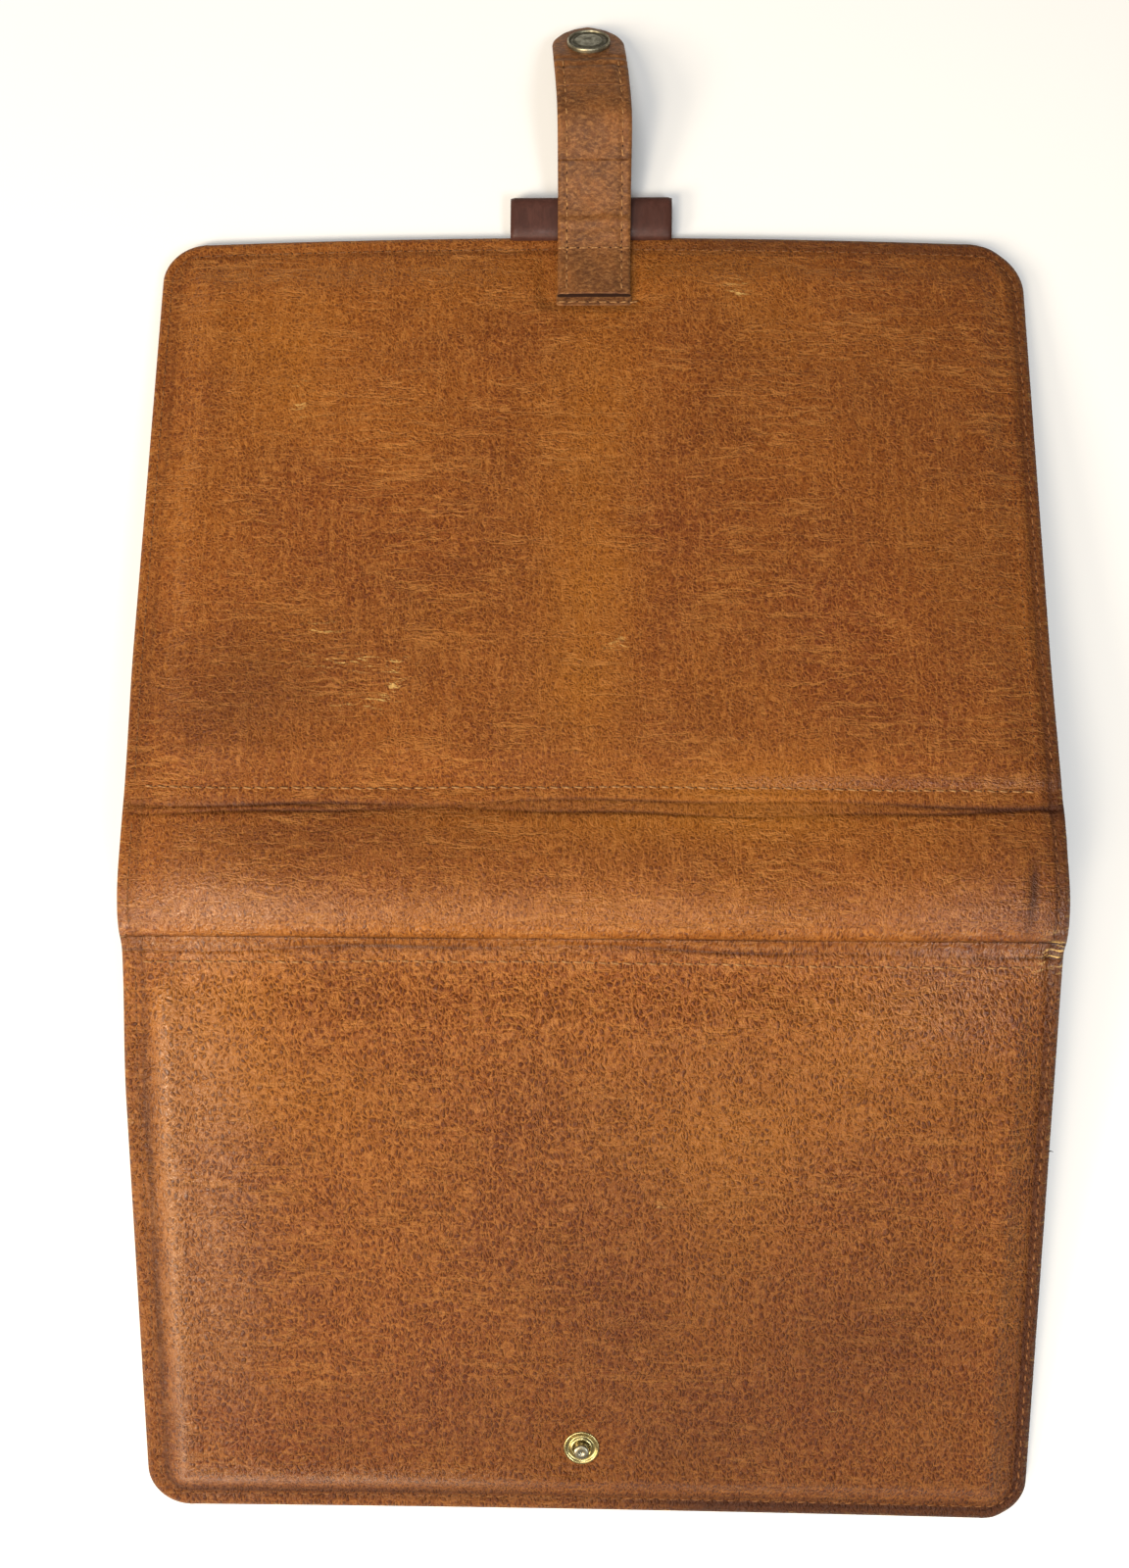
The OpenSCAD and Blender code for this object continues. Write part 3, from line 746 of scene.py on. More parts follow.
def rim_loop(surface):
    """Grid indices and places round the outline, from the spine's middle at -X to the middle at +X."""
    rows, columns = surface.x.shape
    cells = [(i, 0) for i in range(rows)]
    cells += [(rows - 1, j) for j in range(1, columns - 1)]
    cells += [(i, columns - 1) for i in range(rows - 1, -1, -1)]
    return cells


def closed_sheet(name, surface, top, rings, materials, paint_rings):
    """A sheet with thickness: a top grid, rings down round its edge, and a flat underside."""
    side = surface.side
    rows, columns = surface.x.shape
    cells = rim_loop(surface)
    points = [top.reshape(-1, 3)]
    flat_x, flat_v = [surface.x.ravel()], [surface.flat_v.ravel()]
    rims = [[i * columns + j for i, j in cells]]
    count = rows * columns
    for out, drop, height in rings:
        ring, rx, rv = [], [], []
        for i, j in cells:
            x, v = surface.x[i, j], surface.flat_v[i, j]
            ox, ov = outward(side, x, v)
            px, pv = x + ox * out, v + ov * out
            if drop is not None:
                p = top[i, j] - surface.normal[i, j] * drop
                p = p + np.array([ox * out, 0, 0]) + cover_axes(side)[1] * ov * out
            else:
                p = lay(side, np.array(px), np.array(pv), height)
            ring.append(p)
            rx.append(px)
            rv.append(pv)
        points.append(np.array(ring))
        flat_x.append(np.array(rx))
        flat_v.append(np.array(rv))
        rims.append(list(range(count, count + len(cells))))
        count += len(cells)
    faces = grid_faces(rows, columns)
    slots = [0] * len(faces)
    for k, (a, b) in enumerate(zip(rims, rims[1:])):
        for m in range(len(cells) - 1):
            faces.append((a[m], a[m + 1], b[m + 1], b[m]))
            slots.append(paint_rings[k])
    inner, length = rims[-1], len(cells)
    for i in range(rows - 1):
        faces.append((inner[i], inner[i + 1], inner[length - 2 - i], inner[length - 1 - i]))
        slots.append(paint_rings[-1])
    faces.append(tuple(inner[rows - 1:length - rows + 1]))
    slots.append(paint_rings[-1])
    middle = list(range(columns)) + [r[-1] for r in rims[1:]] + [r[0] for r in reversed(rims[1:])]
    faces.append(tuple(middle))
    slots.append(paint_rings[-1])
    obj = new_mesh(name, np.concatenate(points), faces, materials, slots)
    grid = (rows - 1) * (columns - 1) + (len(rings) - 1) * (len(cells) - 1)
    for polygon in list(obj.data.polygons)[grid:]:
        polygon.use_smooth = False
    return obj, np.concatenate(flat_x), np.concatenate(flat_v)


def blend_cover(obj):
    """Bakes a piece's transform into its mesh; it is not bent across the crease."""
    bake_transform(obj)


def build_hide(surface):
    side = surface.side
    name = END[side] + "_hide"
    rings = [(0.28, 0.22, 0), (0.36, 0.75, 0), (0.34, None, 2.2), (0.30, None, 1.06), (-0.5, None, 1.5),
             (-1.2, None, LEATHER_H + 0.03)]
    obj, x, v = closed_sheet(name, surface, surface.point, rings, [TAN, EDGE], [0, 1, 1, 1, 1, 1])
    paint_hide(obj, side, x, v)
    if side > 0:
        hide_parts("back_leather", "spine_leather")
    else:
        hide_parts("front_leather")
    blend_cover(obj)


def build_lining(surface):
    """The inner leather: it faces down at rest, with a soft ripple and a rounded edge."""
    side = surface.side
    name = END[side] + "_inner_lining"
    small = surface.thinned(3)
    h = -0.04 + 0.05 * waves(small.x, small.flat_v, 30, 31) * smooth(2, 10, HALF_W - np.abs(small.x))
    h = np.clip(h, -0.12, 0.05) + 0.35 * bell(np.abs(small.flat_v), HALF_SPINE, 1.6)
    top = lay(side, small.x, small.flat_v, h)
    small.normal = np.broadcast_to(np.array([0, 0, -1.0]), top.shape)
    rings = [(0.22, None, 0.12), (0.30, None, 0.5), (0.24, None, 0.92), (-0.6, None, 1.0)]
    obj, x, v = closed_sheet(name, small, top, rings, [LINING, EDGE], [0, 0, 1, 1])
    add_attribute(obj, "flat", "FLOAT_VECTOR", np.stack([x, side * v, np.zeros_like(x)], -1))
    if side > 0:
        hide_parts("back_lining", "spine_lining")
    else:
        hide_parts("front_lining")
    blend_cover(obj)


# ---------------------------------------------------------------- stitches
def stitch_parts(places, length, thickness, slant, rng, rise):
    """Threads, and dark discs of painted shade for the holes between them. places holds (point, direction
    along the seam, normal).
    """
    threads, thread_faces, holes, hole_faces = [], [], [], []
    around, rings = 7, 7
    for p, t, n in places:
        n = n / np.linalg.norm(n)
        t = t - n * np.dot(t, n)
        t = t / np.linalg.norm(t)
        b = np.cross(n, t)
        angle = slant + rng.normal(0, 0.05)
        d = t * math.cos(angle) + b * math.sin(angle)
        e = np.cross(n, d)
        size = length * rng.uniform(0.92, 1.04)
        start = len(threads)
        for k in range(rings):
            f = k / (rings - 1)
            along = (f - 0.5) * size
            lift = rise * (1 - (2 * f - 1) ** 4) - 0.16
            girth = thickness / 2 * (0.55 + 0.45 * math.sin(math.pi * f) ** 0.5)
            for m in range(around):
                a = 2 * math.pi * m / around
                up = lift + girth * 0.8 * math.sin(a)
                threads.append(p + d * along + n * up + e * girth * math.cos(a))
        thread_faces += capped_rings(rings, around, start)
    for (p, t, n), (q, _, _) in zip(places, places[1:]):
        gap = np.linalg.norm(q - p)
        if gap > 2 * length:
            continue
        n = n / np.linalg.norm(n)
        t = (q - p) / gap
        b = np.cross(n, t)
        c = (p + q) / 2 + b * rng.normal(0, 0.04)
        start = len(holes)
        segments = 10
        holes.append(c + n * 0.10)
        for share, lift in ((0.6, 0.085), (1.0, -0.05)):
            for m in range(segments):
                a = 2 * math.pi * m / segments
                reach = t * 0.36 * share * math.cos(a) + b * 0.25 * share * math.sin(a)
                holes.append(c + reach + n * lift)
        for m in range(segments):
            w = (m + 1) % segments
            hole_faces.append((start, start + 1 + m, start + 1 + w))
            outer = start + 1 + segments
            hole_faces.append((start + 1 + m, outer + m, outer + w, start + 1 + w))
        hole_faces.append(tuple(start + 1 + segments + m for m in range(segments)))
    return threads, thread_faces, holes, hole_faces


def build_stitches(name, places, seed, length=2.45, thickness=0.58, slant=0.10, rise=0.20, thread=THREAD):
    """A seam as one piece: its threads, and a dark disc of painted shade for the hole between each two."""
    rng = np.random.default_rng(seed)
    threads, thread_faces, holes, hole_faces = stitch_parts(places, length, thickness, slant, rng, rise)
    count = len(threads)
    faces = thread_faces + [tuple(i + count for i in f) for f in hole_faces]
    slots = [0] * len(thread_faces) + [1] * len(hole_faces)
    obj = new_mesh(name, threads + holes, faces, [thread, HOLE_SHADE], slots)
    return obj


def along_hide(surface, route, pitch=STITCH):
    """Evenly spaced places along a route of (x, v) points on the hide."""
    route = np.array(route, float)
    total = lengths_along(route)
    count = max(2, int(round(total[-1] / pitch)))
    out = []
    for k in range(count):
        d = total[-1] * (k + 0.5) / count
        here = [np.interp(d, total, route[:, a]) for a in (0, 1)]
        near = [np.interp(d + 0.6, total, route[:, a]) for a in (0, 1)]
        back = [np.interp(d - 0.6, total, route[:, a]) for a in (0, 1)]
        p, n = surface.at(*here)
        out.append((p, surface.at(*near)[0] - surface.at(*back)[0], n))
    return out


def cover_seams(surface):
    """The seam round a cover's margin and the seam beside its crease."""
    side = surface.side
    body, name = COVER[side], END[side]
    near = HALF_SPINE + 2.2
    far = HALF_SPINE + COVER_D - FREE_SEAM
    a, b = -HALF_W + SIDE_SEAM[side], HALF_W - RIGHT_SEAM
    lead = CORNER_LEFT - 3
    route = [(a, near + 4), (a, far - lead)]
    turn = np.linspace(0.2, 1.57, 6)
    route += [(a + lead * (1 - math.cos(t)), far - lead + lead * math.sin(t)) for t in turn]
    cut = STRAP_W / 2 + 0.8
    lead_b = CORNER_RIGHT[side] - 3
    turn = np.linspace(1.57, 0.2, 6)
    rest = [(b - lead_b * (1 - math.cos(t)), far - lead_b + lead_b * math.sin(t)) for t in turn]
    rest += [(b, far - lead_b), (b, near + 4)]
    if side > 0:
        places = along_hide(surface, route + [(-cut, far)])
        places += along_hide(surface, [(cut, far)] + rest)
    else:
        places = along_hide(surface, route + rest)
    margin = build_stitches(name + "_margin_stitches", places, 11 + side, length=2.3, thread=MARGIN_THREAD,
                            **MARGIN_LOOK)
    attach(margin, body)
    v = HALF_SPINE + SEAM_U
    across = np.arange(-119, 119.1, 4)
    wander = [(x, v + 0.35 * math.sin(x / 31 + side) + 0.1 * math.sin(x / 7)) for x in across]
    seam = build_stitches(name + "_crease_stitches", along_hide(surface, wander), 21 + side, slant=-0.12)
    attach(seam, body)
    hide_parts(name + "_thread")
    inner = [(HALF_W - WELT_SEAM, near + 5), (HALF_W - WELT_SEAM, far - 14)]
    second = build_stitches(name + "_welt_stitches", along_hide(surface, inner, 3.0), 31 + side, length=1.7,
                            thickness=0.36, rise=0.06, thread=MARGIN_THREAD)
    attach(second, body)


def spine_seams(back):
    """The seams down both ends of the spine."""
    for sign, name in ((-1, "spine_left_stitches"), (1, "spine_right_stitches")):
        x = sign * (HALF_W - SPINE_SEAM)
        places = along_hide(back, [(x, 3.5 - HALF_SPINE), (x, HALF_SPINE - 3.5)])
        seam = build_stitches(name, places, 41, length=2.2, thread=MARGIN_THREAD, **MARGIN_LOOK)
        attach(seam, "spine")


# ---------------------------------------------------------------- strap
def curve_through(points, spacing):
    """A smooth line through points, resampled evenly."""
    points = np.array(points, float)
    ends = np.vstack([2 * points[0] - points[1], points, 2 * points[-1] - points[-2]])
    out = []
    for p0, p1, p2, p3 in zip(ends, ends[1:], ends[2:], ends[3:]):
        for t in np.linspace(0, 1, 24, endpoint=False):
            out.append(0.5 * (2 * p1 + (p2 - p0) * t + (2 * p0 - 5 * p1 + 4 * p2 - p3) * t * t
                              + (3 * p1 - p0 - 3 * p2 + p3) * t ** 3))
    out.append(points[-1])
    out = np.array(out)
    total = lengths_along(out)
    even = np.linspace(0, total[-1], int(total[-1] / spacing) + 1)
    return np.stack([np.interp(even, total, out[:, a]) for a in range(out.shape[1])], -1), even


WRAP, BEND, TIP = (np.array(JOINTS[j]["pos_m"]) / MM for j in ("strap_wrap", "strap_bend", "strap_tip_bend"))
TIP_DIRECTION = np.array([math.cos(TIP_SLOPE), math.sin(TIP_SLOPE)])
TIP_NORMAL = np.array([0, -math.sin(TIP_SLOPE), math.cos(TIP_SLOPE)])


def strap_line():
    """The middle of the strap's thickness, as (Y, Z), from its sewn base to its tip."""
    rise = STRAP_T / 2
    base = [cover_point(1, 0, u, MARGIN_H + rise + up)[1:] for u, up in (
        (BASE_U, 0), (BASE_U + 6, 0), (COVER_D - 5, 0.05), (COVER_D - 1.5, 0.75), (COVER_D + 3.0, 2.9))]
    mid = WRAP[1:] + (BEND - WRAP)[1:] * 0.5 + np.array([-0.1, 0.3])
    late = BEND[1:] + (TIP - BEND)[1:] * 0.5 + np.array([0.1, 0.25])
    snap = TIP[1:] + TIP_DIRECTION * SNAP_ALONG
    tip = TIP[1:] + TIP_DIRECTION * TIP_ALONG
    return curve_through(base + [WRAP[1:], mid, BEND[1:] + (-0.2, -0.5), late, TIP[1:], snap, tip], 0.55)


STRAP_LINE, STRAP_AT = strap_line()


def strap_frame(s):
    """Centre, direction and normal of the strap at a distance along it."""
    y, z = (np.interp(s, STRAP_AT, STRAP_LINE[:, a]) for a in (0, 1))
    dy, dz = (np.interp(s + 0.8, STRAP_AT, STRAP_LINE[:, a]) - np.interp(s - 0.8, STRAP_AT, STRAP_LINE[:, a])
              for a in (0, 1))
    size = math.hypot(dy, dz)
    share = s / STRAP_AT[-1]
    lean = 0.9 - 2.3 * smooth(0.5, 1.0, share)
    return np.array([lean, y, z]), np.array([0, dy / size, dz / size]), np.array([0, -dz / size, dy / size])


def strap_at_y(y):
    return float(np.interp(y, STRAP_LINE[:, 0], STRAP_AT))


TIP_LENGTH = STRAP_AT[-1]
TIP_JOINT_AT = strap_at_y(TIP[1])


def strap_half_width(s):
    """Half the strap's width, which ends in a half round."""
    past = max(STRAP_HALF - (TIP_LENGTH - s), 0.0)
    return math.sqrt(max(STRAP_HALF * STRAP_HALF - past ** 2, 0.0))


def strap_relief(a, half, s):
    """Height of the strap's top above its flat face: rolled edges, seam grooves and bend wrinkles."""
    d = half - abs(a)
    h = 0.18 * (1 - (a / max(half, 1)) ** 2) - 0.5 * max(0.0, 1 - d / 1.1) ** 2
    if s < TIP_JOINT_AT - 1:
        h -= 0.24 * math.exp(-((d - STRAP_SEAM) / 0.7) ** 2)
        h += 0.12 * math.exp(-((d - STRAP_SEAM - 1.6) / 1.0) ** 2)
    for at, depth, width in ((TIP_JOINT_AT - 1.6, 0.45, 0.8), (TIP_JOINT_AT + 1.6, 0.4, 0.7),
                             (strap_at_y(WRAP[1]) - 6.5, 0.35, 1.0), (strap_at_y(WRAP[1]) - 3.0, 0.25, 0.8)):
        h -= depth * math.exp(-((s - at - 0.3 * math.sin(a / 3)) / width) ** 2)
    h += 0.05 * math.sin(s * 1.1 + a * 0.4) * math.sin(a * 0.9 - s * 0.3)
    return h


def strap_piece(name, s0, s1, columns=41):
    """One stretch of the strap as a closed solid: top leather, painted edge and lining."""
    rows = [s for s in np.arange(s0, s1, 0.55)] + [s1]
    if s1 > TIP_LENGTH - 0.1:
        r = STRAP_HALF
        round_end = [TIP_LENGTH - r + r * math.sin(t) for t in np.linspace(0.02, math.pi / 2 - 0.03, 26)]
        rows = [s for s in rows if s < TIP_LENGTH - r] + round_end
    top, low, flat_top = [], [], []
    for s in rows:
        c, t, n = strap_frame(s)
        half = strap_half_width(s)
        for k in range(columns):
            a = half * math.sin(math.pi * (k / (columns - 1) - 0.5))
            side = np.array([a, 0, 0])
            top.append(c + side + n * (STRAP_T / 2 + strap_relief(a, half, s)))
            rolled = 0.30 * max(0.0, 1 - (half - abs(a)) / 0.9) ** 2
            low.append(c + side * 0.985 - n * (STRAP_T / 2 - rolled))
            flat_top.append((a, s, 0))
    count = len(top)
    faces = grid_faces(len(rows), columns)
    slots = [0] * len(faces)
    faces += [tuple(reversed(f)) for f in grid_faces(len(rows), columns, count)]
    slots += [2] * (len(faces) - len(slots))
    ring = [i * columns for i in range(len(rows))]
    ring += [(len(rows) - 1) * columns + k for k in range(1, columns)]
    ring += [i * columns + columns - 1 for i in range(len(rows) - 2, -1, -1)]
    ring += [k for k in range(columns - 2, 0, -1)]
    ends = []
    joined = (0,) if s1 > TIP_LENGTH - 0.1 else (0, len(rows) - 1)
    for a, b in zip(ring, ring[1:] + ring[:1]):
        if a // columns == b // columns and a // columns in joined:
            ends.append(len(faces))
        faces.append((a, b, b + count, a + count))
        slots.append(1)
    obj = new_mesh(name, top + low, faces, [STRAP, EDGE, STRAP_LINING], slots)
    for i in ends:
        obj.data.polygons[i].use_smooth = False
    add_attribute(obj, "flat", "FLOAT_VECTOR", flat_top + [(a, s, 3) for a, s, _ in flat_top])
    return obj


def strap_stitches(name, s0, s1, seed):
    """Rows of stitches along both edges of a stretch of the strap."""
    places = []
    for sign in (-1, 1):
        count = max(1, int(round((s1 - s0) / 3.2)))
        for k in range(count):
            s = s0 + (s1 - s0) * (k + 0.5) / count
            c, t, n = strap_frame(s)
            half = strap_half_width(s)
            a = sign * (half - STRAP_SEAM)
            p = c + np.array([a, 0, 0]) + n * (STRAP_T / 2 + strap_relief(a, half, s))
            places.append((p, t, n))
    return build_stitches(name, places, seed, length=2.2, slant=0.12, **STRAP_LOOK)


def blend_at(obj, a, b, joint, reach):
    """Bakes a strap piece's transform into its mesh; it is not bent across the joint."""
    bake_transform(obj)


def build_strap():
    half_mid = strap_at_y((WRAP[1] + BEND[1]) / 2)
    half_turn = strap_at_y((BEND[1] + TIP[1]) / 2)
    first = strap_piece("strap_base", 0.0, half_mid)
    second = strap_piece("strap_middle", half_mid, half_turn)
    last = strap_piece("strap_tip", half_turn, TIP_LENGTH)
    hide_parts("strap_base_leather", "strap_base_lining")
    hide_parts("strap_mid_leather", "strap_mid_lining")
    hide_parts("strap_turn_leather", "strap_turn_lining", "strap_end_leather", "strap_end_lining")
    stitches = [strap_stitches("strap_base_stitches", 1.2, half_mid, 51),
                strap_stitches("strap_middle_stitches", half_mid, half_turn, 52),
                strap_stitches("strap_tip_stitches", half_turn, TIP_JOINT_AT + 1.0, 53)]
    bends = (("back_cover", "strap_mid", "strap_wrap", 5.0), ("strap_mid", "strap_turn", "strap_bend", 5.0),
             ("strap_turn", "strap_end", "strap_tip_bend", 3.0))
    for piece, threads, bend in zip((first, second, last), stitches, bends):
        blend_at(piece, *bend)
        blend_at(threads, *bend)


def panel(name, side, x0, x1, u0, u1, low, high, material, radius=2.0, edge=0.35):
    """A flat leather piece with rounded corners and edges, lying on a cover between two heights."""
    corners = []
    for cx, cu, start in ((x1 - radius, u1 - radius, 0), (x0 + radius, u1 - radius, 90),
                          (x0 + radius, u0 + radius, 180), (x1 - radius, u0 + radius, 270)):
        for k in range(7):
            a = math.radians(start + 15 * k)
            corners.append((cx + radius * math.cos(a), cu + radius * math.sin(a), a))
    levels = [(-edge, high), (-edge * 0.3, high - edge * 0.12), (0, high - edge * 0.6),
              (0, low + edge * 0.6), (-edge * 0.3, low + edge * 0.12), (-edge, low)]
    points, flat = [], []
    for out, h in levels:
        for cx, cu, a in corners:
            x, u = cx + out * math.cos(a), cu + out * math.sin(a)
            points.append(cover_point(side, x, u, h))
            flat.append((x, side * u, h * 2))
    obj = new_mesh(name, points, capped_rings(len(levels), len(corners)), [material])
    for polygon in obj.data.polygons:
        polygon.use_smooth = len(polygon.vertices) == 4
    add_attribute(obj, "flat", "FLOAT_VECTOR", flat)
    return obj


def panel_seam(name, side, route, h, seed, pitch=3.2):
    """A row of stitches on a flat piece inside a cover; h is the height of the face that they lie on."""
    _, out, up = cover_axes(side)
    route = np.array(route, float)
    total = lengths_along(route)
    count = int(round(total[-1] / pitch))
    places = []
    for k in range(count):
        d = total[-1] * (k + 0.5) / count
        x, u = (np.interp(d, total, route[:, a]) for a in (0, 1))
        xn, un = (np.interp(d + 0.5, total, route[:, a]) for a in (0, 1))
        direction = np.array([xn - x, 0, 0]) + out * (un - u)
        places.append((cover_point(side, x, u, h), direction, -up if h < LINING_T else up))
    return build_stitches(name, places, seed, length=2.3, slant=0.1, **STRAP_LOOK)


def build_base_patch():
    """The strap's under layer shows past its base, with a row of stitches across it."""
    under = panel("strap_base_patch", 1, -STRAP_W / 2 + 0.9, STRAP_W / 2 + 0.9, BASE_U - 2.6, BASE_U + 1.0,
                  MARGIN_H - 0.2, MARGIN_H + 0.75, STRAP, radius=0.8, edge=0.3)
    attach(under, "back_cover")
    route = [(-STRAP_W / 2 + 1, BASE_U - 1.5), (STRAP_W / 2 + 3, BASE_U - 1.7)]
    seam = panel_seam("strap_patch_stitches", 1, route, MARGIN_H + 0.75, 61, 2.9)
    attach(seam, "back_cover")
    places = []
    s = COVER_D - CROSS_SEAM - BASE_U
    c, _, n = strap_frame(s)
    for k in range(7):
        x = -STRAP_W / 2 + 1.6 + k * 3.1
        p = c + np.array([x, 0, 0]) + n * (STRAP_T / 2 + strap_relief(x, STRAP_W / 2, s))
        places.append((p, np.array([1.0, 0, 0]), n))
    across = build_stitches("strap_cross_stitches", places, 62, length=2.3, slant=0.1, **STRAP_LOOK)
    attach(across, "back_cover")


# ---------------------------------------------------------------- snap
def build_snap():
    """The cap on the strap's tip, in four turned parts, and the stud on the front cover, in two."""
    face = np.array([STUD_X, *(TIP[1:] + TIP_DIRECTION * SNAP_ALONG)]) + TIP_NORMAL * STRAP_T / 2
    axes = (AXIS_X, np.array([0, *TIP_DIRECTION]), TIP_NORMAL)
    r = CAP_R
    rim = [(r - 0.25, 0), (r, 0.35), (r, 1.15), (r - 0.16, 1.45), (r - 0.42, 1.45), (r - 0.58, 1.1)]
    rim = [(0.4, 0.05)] + rounded(rim, 0.16) + [(r - 0.6, 0.85), (0.4, 0.8)]
    ring = lathe("snap_cap_rim", rim, face, axes, OLD_BRASS)
    floor = [(0.0001, 0.82), (r - 0.58, 0.82), (r - 0.58, 1.0), (r - 1.6, 1.02), (r - 2.0, 1.02)]
    step = [(r - 2.0, 1.02), (r - 2.3, 1.2), (1.5, 1.22), (1.1, 1.16), (0.75, 0.97), (0.0001, 0.95)]
    recess = lathe("snap_cap_face", floor + rounded(step, 0.18), face, axes, CAP_RECESS)
    top = [(1.15, 1.17), (1.5, 1.26), (r - 2.65, 1.26), (r - 2.4, 1.17), (r - 2.5, 1.05), (1.2, 1.05)]
    plateau = lathe("snap_cap_plateau", rounded(top, 0.12), face, axes, CAP_PLATEAU)
    dip = [(0.0001, 0.97), (0.72, 0.98), (1.12, 1.19), (1.16, 1.12), (0.0001, 0.9)]
    # The dimple is painted near-black, as painted shade.
    dimple = lathe("snap_cap_dimple", dip, face, axes, DIMPLE_SHADE)
    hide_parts("snap_cap")
    for piece in (ring, recess, plateau, dimple):
        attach(piece, "strap_end")

    _, out, up = cover_axes(-1)
    base = cover_point(-1, STUD_X, STUD_U, FACE_H - 0.12)
    axes = (AXIS_X, out, up)
    r = FLANGE_R
    flange = rounded([(0.0001, 0.0), (r, 0.0), (r, 0.5), (r - 0.25, 0.86), (r - 0.75, 0.82), (r - 1.1, 0.5),
                      (3.5, 0.42), (3.15, 0.75), (2.75, 0.98), (2.4, 0.8), (2.2, 0.3), (0.0001, 0.25)], 0.2)
    stud = lathe("snap_stud_flange", flange, base, axes, BRASS)
    post = [(0.0001, 0.2), (1.55, 0.2), (1.5, 1.3), (1.75, 1.65), (2.15, 2.0), (2.12, 2.35), (1.75, 2.6),
            (1.1, 2.68), (0.7, 2.6), (0.45, 2.4), (0.0001, 2.35)]
    ball = lathe("snap_stud_ball", rounded(post, 0.22), base, axes, BALL)
    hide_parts("snap_stud")
    for piece in (stud, ball):
        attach(piece, "front_cover")


# ---------------------------------------------------------------- pen loop
def build_pen_loop():
    """The flattened loop, and the tab that joins it to the back cover's free edge."""
    low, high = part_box("pen_loop")
    low, high = np.array(low) / MM, np.array(high) / MM
    width = high[0] - low[0]
    near, far, height = low[1] + 0.1, high[1] + 0.4, high[2]
    r = height / 2 - 0.1 - LOOP_UNDERCUT
    middle = height / 2 + LOOP_UNDERCUT

    def section(inset, k, count=64):
        """A flattened loop, pressed lower in its middle, creased at its far end."""
        a = 2 * math.pi * k / count
        half = (far - near) / 2 - inset
        p = abs(math.cos(a)) ** 0.42 * half * math.copysign(1, math.cos(a))
        q = abs(math.sin(a)) ** 0.78 * (r - inset) * math.copysign(1, math.sin(a))
        return (near + far) / 2 + p, middle + q

    count, rows = 64, 40
    points, flat = [], []
    for inset in (0.0, LOOP_WALL):
        for i in range(rows):
            f = i / (rows - 1)
            x = low[0] + width * f
            squeeze = 1 - 0.05 * math.exp(-(x / 11) ** 2) + 0.012 * math.sin(x * 0.45)
            end = min(f, 1 - f) * width
            tuck = 0.25 * max(0.0, 1 - end / 0.5) ** 2 * (1 if inset == 0 else -1)
            for k in range(count):
                y, z = section(inset + tuck, k, count)
                z = (z - middle) * squeeze + middle
                points.append((x, y, max(z, 0.02)))
                flat.append((x, k * 0.55, inset * 4))
    faces = grid_faces(rows, count, 0, wrap=True) + grid_faces(rows, count, rows * count, wrap=True)
    for end in (0, rows - 1):
        for k in range(count):
            a, b = end * count + k, end * count + (k + 1) % count
            faces.append((a, b, b + rows * count, a + rows * count))
    obj = new_mesh("pen_loop_leather", points, faces, [LOOP])
    add_attribute(obj, "flat", "FLOAT_VECTOR", flat)
    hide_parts("pen_loop")
    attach(obj, "pen_loop")

    hinge = np.array(JOINTS["pen_loop_fold"]["pos_m"]) / MM
    line = [cover_point(1, 0, COVER_D - 4, 2.2)[1:], cover_point(1, 0, COVER_D - 0.5, 2.0)[1:],
            (hinge[1] + 0.9, 1.9), (near + 1.6, 2.0)]
    path, _ = curve_through(line, 0.4)
    points, flat = [], []
    for y, z in path:
        for thickness in (0.45, -0.45):
            for x in np.linspace(low[0] + 0.4, high[0] - 0.4, 12):
                points.append((x, y, z + thickness))
                flat.append((x, y, thickness))
    rows, columns = len(path), 12
    faces = []
    for i in range(rows - 1):
        a = i * 2 * columns
        for j in range(columns - 1):
            faces.append((a + j, a + j + 1, a + 2 * columns + j + 1, a + 2 * columns + j))
            b = a + columns
            faces.append((b + j, b + 2 * columns + j, b + 2 * columns + j + 1, b + j + 1))
        for j in (0, columns - 1):
            faces.append((a + j, a + 2 * columns + j, a + 3 * columns + j, a + columns + j))
    for a in (0, (rows - 1) * 2 * columns):
        for j in range(columns - 1):
            faces.append((a + j, a + columns + j, a + columns + j + 1, a + j + 1))
    tab = new_mesh("pen_loop_tab", points, faces, [LOOP])
    add_attribute(tab, "flat", "FLOAT_VECTOR", flat)
    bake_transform(tab)


# ---------------------------------------------------------------- inside
def pocket(name, node, side, place, radius):
    """A pocket's leather on a cover's lining: place is its x, u and height, each from and to."""
    piece = panel(name, side, *place, LINING, radius=radius)
    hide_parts(node)
    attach(piece, COVER[side])


def pocket_seam(name, side, route, height, seed):
    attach(panel_seam(name, side, route, height, seed), COVER[side])


def build_inside():
    """The pockets on the linings, with their seams. Each lies at its CAD node's place."""
    pocket("passport_pocket_panel", "passport_pocket", -1, (-112, 24, 14, 112, -6.6, -5.6), 3)
    route = [(22, 15.3), (-110.7, 15.3), (-110.7, 110.7), (22, 110.7)]
    pocket_seam("passport_pocket_stitches", -1, route, -6.6, 71)
    pocket("document_pocket_panel", "document_pocket", 1, (-118, 118, 52, 158, -1, 0), 4)
    route = [(-116, 54), (-116, 156), (116, 156), (116, 54)]
    pocket_seam("document_pocket_stitches", 1, route, -1, 72)
    for i in (1, 2, 3):
        pocket(f"card_slot_panel_{i}", f"card_slot_{i}", 1, (14, 108, 46 + 14 * i, 124, -1 - i, -i), 2)
    route = [(15.5, 92), (15.5, 122.5), (106.5, 122.5), (106.5, 92)]
    pocket_seam("card_slot_stitches", 1, route, -4, 73)


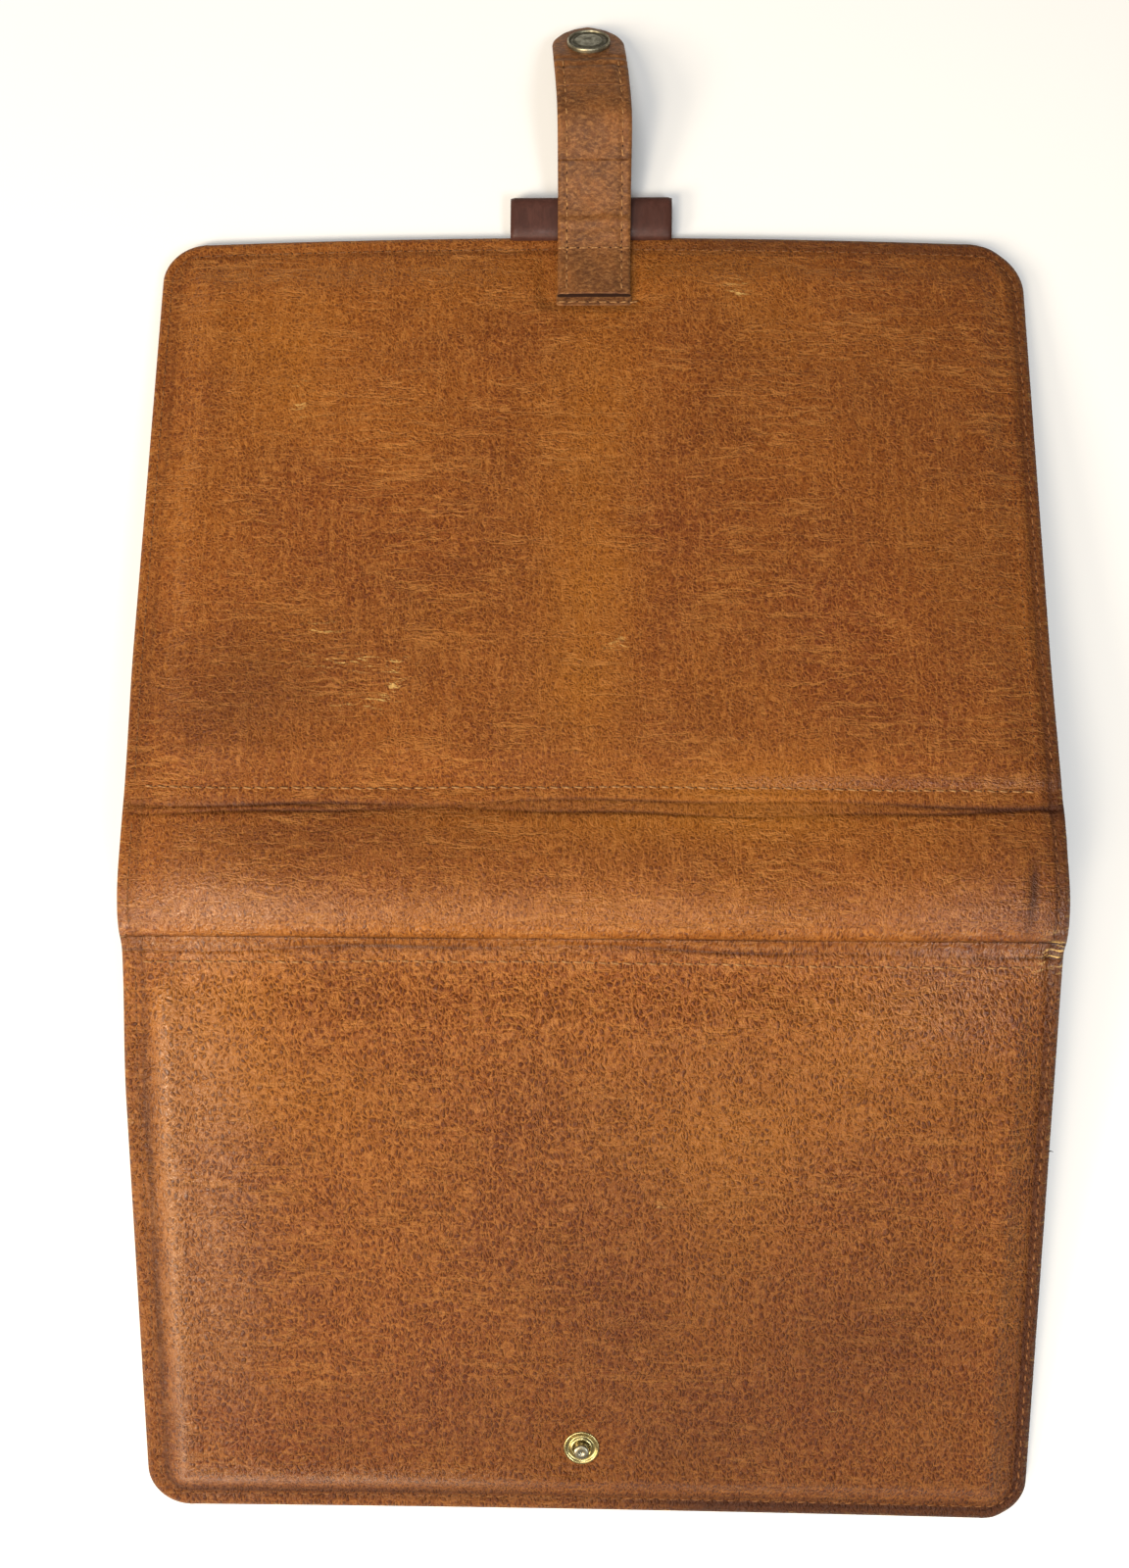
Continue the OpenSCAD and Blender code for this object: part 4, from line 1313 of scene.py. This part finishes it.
def finish_cad_nodes():
    """Materials for the CAD nodes that stay as they are."""
    looks = {"spine_padding": FOAM, "back_padding": FOAM, "front_padding": FOAM, "spine_board": BOARD,
             "back_board": EDGE, "front_board": EDGE, "passport_gusset_inner": LINING,
             "passport_gusset_outer": LINING, "passport_gusset_end": LINING, "snap_stud_post": BRASS,
             "snap_socket": OLD_BRASS, "snap_spring": OLD_BRASS}
    for name, material in looks.items():
        node = frame["nodes"][name]
        node.data.materials.clear()
        node.data.materials.append(material)


def loose_threads():
    """Short dark ends of thread that stick out from under the front cover's sides."""
    rng = np.random.default_rng(5)
    starts = [(-1, 56.5, 3.2), (-1, 58.5, 2.4), (1, 56.0, 3.4), (1, 58.0, 2.6), (1, 59.5, 1.8)]
    points, faces = [], []
    around, rings = 6, 8
    for sign, u, length in starts:
        root = cover_point(-1, sign * (HALF_W - 0.4), u, 1.6)
        heading = np.array([sign * 1.0, rng.uniform(-0.7, 0.5), rng.uniform(-0.25, 0.1)])
        bend = np.array([0, rng.uniform(-0.5, 0.6), rng.uniform(-0.2, 0.2)])
        start = len(points)
        for k in range(rings):
            f = k / (rings - 1)
            c = root + heading * length * f + bend * length * f * f
            for m in range(around):
                a = 2 * math.pi * m / around
                size = 0.17 * (1 - 0.4 * f)
                points.append(c + np.array([0, size * math.cos(a), size * math.sin(a)]))
        faces += capped_rings(rings, around, start)
    obj = new_mesh("loose_thread_ends", points, faces, [DARK_THREAD])
    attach(obj, "front_cover")


# ---------------------------------------------------------------- stage, lights and camera
def build_stage():
    n = Nodes("pale_floor")
    n.set(Base_Color=(0.95, 0.95, 0.95, 1), Roughness=0.6, Specular_IOR_Level=0.2)
    mesh = bpy.data.meshes.new("floor")
    corners = [(x * FLOOR_HALF, y * FLOOR_HALF, FLOOR_Z) for x, y in ((-1, -1), (1, -1), (1, 1), (-1, 1))]
    mesh.from_pydata(corners, [], [(0, 1, 2, 3)])
    mesh.materials.append(n.material)
    floor = bpy.data.objects.new("floor", mesh)
    bpy.context.scene.collection.objects.link(floor)


def area_light(name, place, target, size, power, colour):
    light = bpy.data.lights.new(name, "AREA")
    light.shape = "RECTANGLE"
    light.size, light.size_y = size
    light.energy = power
    light.color = colour
    obj = bpy.data.objects.new(name, light)
    obj.location = place
    obj.rotation_euler = (Vector(target) - Vector(place)).to_track_quat("-Z", "Y").to_euler()
    bpy.context.scene.collection.objects.link(obj)


def build_lights():
    world = bpy.data.worlds.new("soft_white")
    world.use_nodes = True
    world.node_tree.nodes["Background"].inputs[0].default_value = (1.0, 0.98, 0.95, 1)
    world.node_tree.nodes["Background"].inputs[1].default_value = 0.13
    bpy.context.scene.world = world
    area_light("overhead", (-0.22, 0.06, 1.5), (-0.02, 0, 0), (0.6, 0.6), 8.6, (1.0, 0.975, 0.94))
    area_light("window_left", (-0.46, -0.62, 0.95), (-0.05, -0.05, 0), (0.26, 0.36), 8.0, (1.0, 0.86, 0.66))
    area_light("window_right", (0.50, -0.66, 1.0), (0.03, -0.05, 0), (0.24, 0.34), 5.0, (0.88, 0.95, 1.0))
    area_light("side_left", (-0.95, -0.72, 0.8), (-0.1, -0.1, 0), (0.46, 0.4), 11.0, (1.0, 0.86, 0.66))


def build_camera():
    camera = bpy.data.cameras.new("camera")
    camera.sensor_width = 36.0
    camera.lens = CAMERA_LENS
    camera.clip_start = 0.01
    obj = bpy.data.objects.new("camera", camera)
    obj.location = CAMERA_PLACE
    obj.rotation_euler = tuple(math.radians(a) for a in CAMERA_TURN)
    bpy.context.scene.collection.objects.link(obj)
    bpy.context.scene.camera = obj
    bpy.context.scene.view_settings.view_transform = "Standard"


build_camera()
build_stage()
build_lights()
back, front = hide_surfaces()
for surface in (back, front):
    build_hide(surface)
    build_lining(surface)
    cover_seams(surface)
spine_seams(back)
build_strap()
build_base_patch()
build_snap()
build_pen_loop()
build_inside()
finish_cad_nodes()
loose_threads()
